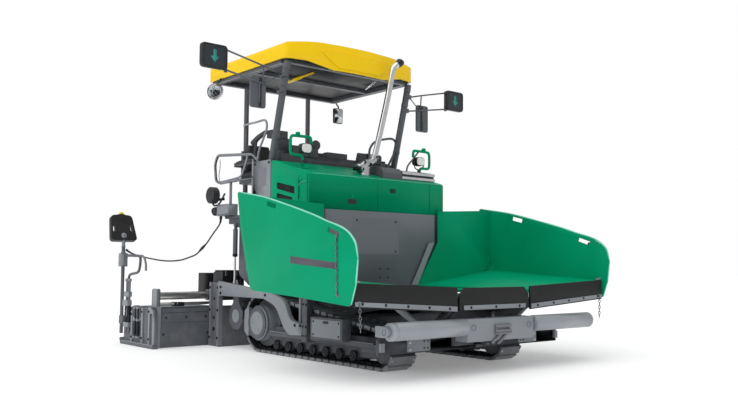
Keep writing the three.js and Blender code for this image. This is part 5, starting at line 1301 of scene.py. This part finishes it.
def roof_nose(y):
    """x of the roof's front edge across the machine: a bow in the middle and straight shoulders."""
    y = abs(y)
    if y <= 0.298:
        return 0.3714 - 0.0186 * (y / 0.298) ** 2
    return 0.3528 - (y - 0.298) * 0.125 if y <= 0.48 else 0.33 - (y - 0.48) * 0.2


def bowed(outline, out, steps=14):
    """A panel laid on the bowed front: its outline is a top and a bottom (half width, z) pair."""
    (top_half, top_z), (low_half, low_z) = outline
    corners, faces = [], []
    for depth in (-0.004, out):
        for half, z in ((top_half, top_z), (low_half, low_z)):
            for k in range(steps + 1):
                y = -half + 2 * half * k / steps
                corners.append((roof_nose(y) + depth, y, z))
    n = steps + 1
    for k in range(steps):
        faces += [(k, k + 1, n + k + 1, n + k), (2 * n + k, 3 * n + k, 3 * n + k + 1, 2 * n + k + 1),
                  (k, 2 * n + k, 2 * n + k + 1, k + 1), (n + k, n + k + 1, 3 * n + k + 1, 3 * n + k)]
    faces += [(0, n, 3 * n, 2 * n), (n - 1, 3 * n - 1, 4 * n - 1, 2 * n - 1)]
    return corners, faces


closed = lambda line: [*line, line[0]]
piece("roof_front_lip", [bowed(((0.76, 3.165), (0.36, 3.078)), 0.006)], shell_yellow, ease=0.004)
piece("roof_name_panel", [bowed(((0.52, 3.275), (0.3, 3.108)), 0.02)], shell_yellow, ease=0.008)
side_panel = [(-1.33, 3.195, 0.02), (-0.28, 3.195, 0.02), (-0.16, 3.262, 0.02), (-1.33, 3.262, 0.02)]
recess_line = both_sides([tube([placed("y", a, b, 0.9305) for a, b in closed(rounded(side_panel))], 0.0035, 8)])
piece("roof_side_mouldings", recess_line, shell_yellow, ease=0)
ribs = [plate("y", [(roof_rear + 0.1, 3.3655), (0.1, 3.3655), (0.16, 3.352), (roof_rear + 0.04, 3.352)],
              y - 0.05, y + 0.05) for y in (-0.36, 0, 0.36)]
piece("roof_top_ribs", ribs, shell_yellow, ease=0.004)
liner_enamel = enamel("grey_moulded_liner", "dark_paint", "#1F2023", "#292B2E", 0.5, dusty=0)
inset = 0.028
outline = [(roof_rear + inset, -roof_half + inset, 0.06), (0.24 - inset, -roof_half + inset, 0.08),
           (0.33 - inset, -0.48), (0.375 - inset, -0.1, 0.08), (0.375 - inset, 0.1, 0.08), (0.33 - inset, 0.48),
           (0.24 - inset, roof_half - inset, 0.08),
           (roof_rear + inset, roof_half - inset, 0.06)]
flat = rounded(outline)


def dished(line, levels):
    """A tray under the roof: the outline repeated at each (share of its size, height), closed at the end."""
    middle = Vector((-0.52, 0))
    corners = [(middle.x + (x - middle.x) * size, y * size, z) for size, z in levels for x, y in line]
    return rings(corners, len(line))


tray = [(1.0, 3.16), (0.998, 3.2), (0.93, 3.215), (0.8, 3.222), (0.76, 3.262), (0.72, 3.268), (0.72, 3.275),
        (0.995, 3.262), (1.0, 3.24)]
piece("roof_liner", [dished(flat, tray)], liner_enamel, ease=0)
lip = [(x, y, 3.1525) for x, y in closed(flat)]
piece("roof_edge_seal", [tube(lip, 0.009, 8)], belting, ease=0)
lamp_bar = both_sides([bar(0.18, 0.262, 0.2, 0.34, 3.118, 3.158, 0.02),
                       bar(-1.2, -1.06, 0.3, 0.44, 3.2, 3.222, 0.03)])
piece("roof_lamps", lamp_bar, black_nylon, ease=0.006)

# ---------------------------------------------------------------- signal lights and mirrors
# Each front post carries a double arm with a deep black housing on its end and a mirror on a stem. The
# lens is tinted polycarbonate over a lit arrow that tells the truck's driver to tip.
tinted_lens, tree, shader, place = started("teal_polycarbonate_lens", "black_plastic")
glow = spread(tree, speckle(tree, place, 90), 0.3, 0.7)
tree.links.new(between(tree, glow, "#0A222C", "#081A24"), shader.inputs["Base Color"])
constants(shader, {"Roughness": 0.12, "Coat Weight": 0.5})
lit_arrow, tree, shader, place = started("lit_arrow_film", "black_plastic")
tree.links.new(between(tree, spread(tree, speckle(tree, place, 12), 0.3, 0.7), "#1E7F76", "#2C958A"),
               shader.inputs["Base Color"])
constants(shader, {"Emission Color": linear("#2C9C86"), "Emission Strength": 0.06})
mirror_glass, tree, shader, place = started("silvered_mirror_glass", "chrome_rod")
tree.links.new(between(tree, speckle(tree, place, 200), "#C4C8CC", "#B4B9BE"), shader.inputs["Base Color"])
shader.inputs["Metallic"].default_value = 1.0
tree.links.new(spread(tree, speckle(tree, place, 80), 0.3, 0.7, 0.03, 0.08), shader.inputs["Roughness"])
box_x, box_y, box_z, box_half, box_tall = 0.157, 1.724, 3.041, 0.15, 0.126
arrow = [(-0.018, 0.066), (0.018, 0.066), (0.018, -0.004), (0.05, -0.004), (0, -0.066), (-0.05, -0.004),
         (-0.018, -0.004)]
for side, g in LEFT, RIGHT:
    square = lambda half, corner: [(g * box_y + a * half, box_z + b * half * box_tall / box_half, corner)
                                   for a, b in ((-1, -1), (1, -1), (1, 1), (-1, 1))]
    piece(f"signal_housing_{side}", [plate("x", square(box_half, 0.045), box_x - 0.03, box_x + 0.018),
                                     plate("x", square(box_half * 0.8, 0.04), box_x - 0.045, box_x - 0.028)],
          black_nylon, ease=0.01)
    bezel = [placed("x", a, b, box_x + 0.018) for a, b in closed(rounded(square(box_half - 0.012, 0.036)))]
    piece(f"signal_bezel_{side}", [tube(bezel, 0.0068, 10)], black_nylon, ease=0)
    piece(f"signal_lens_{side}", [plate("x", square(box_half * 0.76, 0.03), box_x + 0.01, box_x + 0.02)],
          tinted_lens, ease=0.003)
    piece(f"signal_arrow_{side}", [plate("x", [(g * box_y + a, box_z + b) for a, b in arrow], box_x + 0.0195,
                                         box_x + 0.0212)], lit_arrow, ease=0)
    root_y, arm_low, arm_high = 0.9054, 2.815, 2.976
    inner = box_y - box_half + 0.004
    arms = [tube([(lean(arm_high), root_y, arm_high), (0.165, 1.14, 3.034), (0.152, inner, 3.13)], 0.0095),
            tube([(lean(arm_low), root_y, arm_low), (0.146, 1.14, 2.85), (0.152, inner, 2.922)], 0.0095),
            tube([(0.165, 1.14, 3.034), (0.146, 1.14, 2.85)], 0.008),
            tube([(lean(arm_high), 0.93, arm_high), (0.15, 1.13, 2.85)], 0.006)]
    arms.append(panel("x", inner - 0.012, inner + 0.02, 2.9, 3.15, box_x - 0.026, box_x - 0.008))
    clamp = [bar(lean(z) - 0.046, lean(z) + 0.046, 0.866, 0.929, low, high, 0.016)
             for z, low, high in ((arm_low, 2.792, 2.84), (arm_high, 2.952, 3.0))]
    arms.append(tube([(0.148, 1.18, 2.86), (0.148, 1.18, 2.64)], 0.009))
    arms += [tube([(0.148, 1.18, z), (0.125, 1.18, z)], 0.014) for z in (2.7, 2.82)]
    stand = piece(f"signal_arms_{side}", sided(arms, g), frame_enamel, ease=0)
    piece(f"signal_clamps_{side}", sided(clamp, g), frame_enamel, ease=0.003)
    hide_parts(f"signal_light_{side}")
    piece(f"mirror_housing_{side}", [on_side(panel("x", 1.09, 1.28, 2.59, 2.92, 0.11, 0.142, 0.03), g)],
          frame_enamel, ease=0.008)
    piece(f"mirror_ridge_{side}", [on_side(panel("x", 1.15, 1.18, 2.6, 2.91, 0.1415, 0.15), g)],
          black_nylon, ease=0.004)
    piece(f"mirror_glass_{side}", [on_side(panel("x", 1.102, 1.268, 2.602, 2.908, 0.1085, 0.1105, 0.024), g)],
          mirror_glass, ease=0.0008)
    # the lamps under the roof's rear corners: a round lamp in a wire basket, and a small mirror on the left
    corner = Vector((-1.18, g * 0.965, 3.12))
    stalk = [tube(smooth([corner, corner + Vector((0.03, g * 0.025, -0.05)),
                          corner + Vector((0.055, g * 0.035, -0.1))]), 0.01)]
    if side == "right":
        lamp = Vector((-1.15, -0.985, 3.0))
        facing = Vector((0.88, -0.1, -0.43)).normalized()
        stalk[0] = tube(smooth([(-1.1, -0.925, 3.15), (-1.12, -0.95, 3.11), (-1.165, -0.975, 3.06),
                                lamp - facing * 0.03]), 0.012)
        stalk.append(spun(lamp + facing * -0.05, lamp + facing,
                          [(0, 0.03), (0.012, 0.065), (0.04, 0.092), (0.056, 0.096), (0.06, 0.088)], 28))
        cage = [ring(lamp + facing * d, facing, r, 0.0035, 28)
                for d, r in ((0.02, 0.098), (0.045, 0.086), (0.062, 0.05))]
        piece("rear_lamp_lens", [spun(lamp + facing * 0.012, lamp + facing,
                                      [(0, 0.086), (0.006, 0.076), (0.012, 0.03)], 28)], mirror_glass, ease=0)
        piece("rear_lamp_basket", cage, zinc_plate, ease=0)
    else:
        stalk[0] = tube(smooth([(-1.29, 0.925, 3.15), (-1.285, 0.945, 3.11), (-1.27, 0.96, 3.08),
                                (-1.27, 0.96, 3.05)]), 0.01)
        stalk.append(plate("x", [(0.885, 2.85, 0.02), (1.03, 2.85, 0.02), (1.036, 3.055, 0.03), (0.88, 3.055, 0.03)],
                           -1.29, -1.262))
        piece("rear_mirror_glass", [plate("x", [(0.895, 2.86, 0.015), (1.02, 2.86, 0.015), (1.026, 3.045, 0.025),
                                                (0.89, 3.045, 0.025)], -1.2625, -1.2605)], mirror_glass, ease=0)
    piece(f"rear_corner_{side}", stalk, black_nylon, ease=0.004)

# ---------------------------------------------------------------- work lamps on the hood
# Oval headlamps with white ribbed lenses, each in a bent green hoop that guards it and carries a
# green knob, and a black bracket that lets it tilt.
lamp_lens, tree, shader, place = started("frosted_lamp_lens", "grey_paint")
tree.links.new(between(tree, spread(tree, speckle(tree, place, 30), 0.3, 0.7), "#F2F2EE", "#E4E5E2"),
               shader.inputs["Base Color"])
shader.inputs["Coat Weight"].default_value = 0.5
ribbed = put(tree, "ShaderNodeTexWave", {"Vector": place, "Scale": 1000 / 40.0}, bands_direction="Y").outputs[1]
tree.links.new(spread(tree, ribbed, 0, 1, 0.1, 0.25), shader.inputs["Roughness"])
bumped(tree, shader, ribbed, 0.4, 0.4)
for side, g in LEFT, RIGHT:
    x, y, top = 0.46, 0.815, 2.285
    low = hood_z(x - 0.015) + 0.0005
    hoop_line = [(x, y + out, z) for out, z in (
        (0.02, low), (0.02, 2.055), (0.035, 2.079), (0.06, 2.085), (0.135, 2.087), (0.165, 2.098), (0.175, 2.13),
        (0.175, 2.235), (0.165, 2.268), (0.135, 2.283), (-0.05, 2.285), (-0.078, 2.272), (-0.085, 2.24),
        (-0.085, 2.206))]
    hoop = [tube([hoop_line[0], *smooth(hoop_line[1:-1], 4), hoop_line[-1]], 0.0155, 14),
            spun((x, y + 0.085, top), (x, y + 0.085, 3), [(0, 0.015), (0.012, 0.015), (0.016, 0.025), (0.034, 0.025),
                                                          (0.04, 0.019)], 20),
            bar(x - 0.04, x + 0.04, y - 0.03, y + 0.06, hood_z(x + 0.04), hood_z(x + 0.04) + 0.02, 0.01)]
    stand = piece(f"lamp_hoop_{side}", sided(hoop, g), green_enamel, ease=0)
    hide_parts(f"work_lamp_{side}")
    if side == "left":
        piece("lamp_hand_rail", [tube(across_at(x, [(y - 0.005, 2.27), (y - 0.09, 2.18), (y - 0.175, 2.085),
                                                    (y - 0.19, low)]), 0.01)], frame_enamel, ease=0)
    oval = lambda half, tall, corner: [(y - half, 2.16 - tall, corner), (y + half, 2.16 - tall, corner),
                                       (y + half, 2.16 + tall, corner), (y - half, 2.16 + tall, corner)]
    head = [plate("x", oval(0.066, 0.052, 0.045), x - 0.02, x + 0.04),
            plate("x", oval(0.052, 0.04, 0.03), x - 0.055, x - 0.018),
            tube(smooth([(x + 0.012, y - 0.073, 2.16), (x + 0.008, y - 0.074, 2.115), (x, y - 0.045, 2.078),
                         (x, y, 2.066), (x, y + 0.045, 2.078), (x + 0.008, y + 0.074, 2.115),
                         (x + 0.012, y + 0.073, 2.16)]), 0.007, 10),
            post((x, y, low + 0.055), (x, y, 2.072), 0.013),
            bar(x - 0.03, x + 0.03, y - 0.03, y + 0.035, low + 0.048, low + 0.074, 0.008)]
    piece(f"lamp_head_{side}", sided(head, g), black_nylon, ease=0.004)
    piece(f"lamp_lens_{side}", [on_side(plate("x", oval(0.06, 0.046, 0.04), x + 0.04, x + 0.048), g)],
          lamp_lens, ease=0.0035)

# ---------------------------------------------------------------- studio
# A pale painted floor and a white room. A broad soft lamp off the machine's right side and a high soft
# sun light it, and the room's dim even fill keeps the enamel's depth.
right_lamp = bpy.data.objects.new("right side lamp", bpy.data.lights.new("right side lamp", "AREA"))
right_lamp.data.shape = "RECTANGLE"
right_lamp.data.size, right_lamp.data.size_y = 7, 4
right_lamp.data.energy = 70
right_lamp.location = (1.5, -9.0, 4.0)
right_lamp.rotation_euler = (Vector((0, 0, 1.4)) - right_lamp.location).to_track_quat("-Z", "Y").to_euler()
high_sun = bpy.data.objects.new("high soft sun", bpy.data.lights.new("high soft sun", "SUN"))
high_sun.data.energy = 1.3
high_sun.data.angle = math.radians(75)
high_sun.rotation_euler = Vector((-0.05, -0.36, 0.93)).to_track_quat("Z", "Y").to_euler()
for lamp in (right_lamp, high_sun):
    in_scene.link(lamp)
room = bpy.data.worlds.new("white room")
room.use_nodes = True
backdrop = room.node_tree.nodes["Background"]
backdrop.inputs["Color"].default_value = (1, 1, 1, 1)
seen = put(room.node_tree, "ShaderNodeLightPath").outputs["Is Camera Ray"]
room.node_tree.links.new(spread(room.node_tree, seen, 0, 1, 0.58, 1.0), backdrop.inputs["Strength"])
bpy.context.scene.world = room
bpy.context.scene.view_settings.view_transform = "Standard"
floor_mesh = bpy.data.meshes.new("floor")
floor_mesh.from_pydata([(-60, -60, 0), (60, -60, 0), (60, 60, 0), (-60, 60, 0)], [], [(0, 1, 2, 3)])
floor = bpy.data.objects.new("floor", floor_mesh)
in_scene.link(floor)
floor_paint, tree, shader, place = started("pale_floor_paint", "")
cloudy = spread(tree, speckle(tree, place, 900, 3), 0.3, 0.7)
tree.links.new(between(tree, cloudy, "#FAFAFA", "#F6F6F7"), shader.inputs["Base Color"])
constants(shader, {"Roughness": 0.6, "Emission Color": (1, 1, 1, 1), "Emission Strength": 0.22})
floor.data.materials.append(floor_paint)
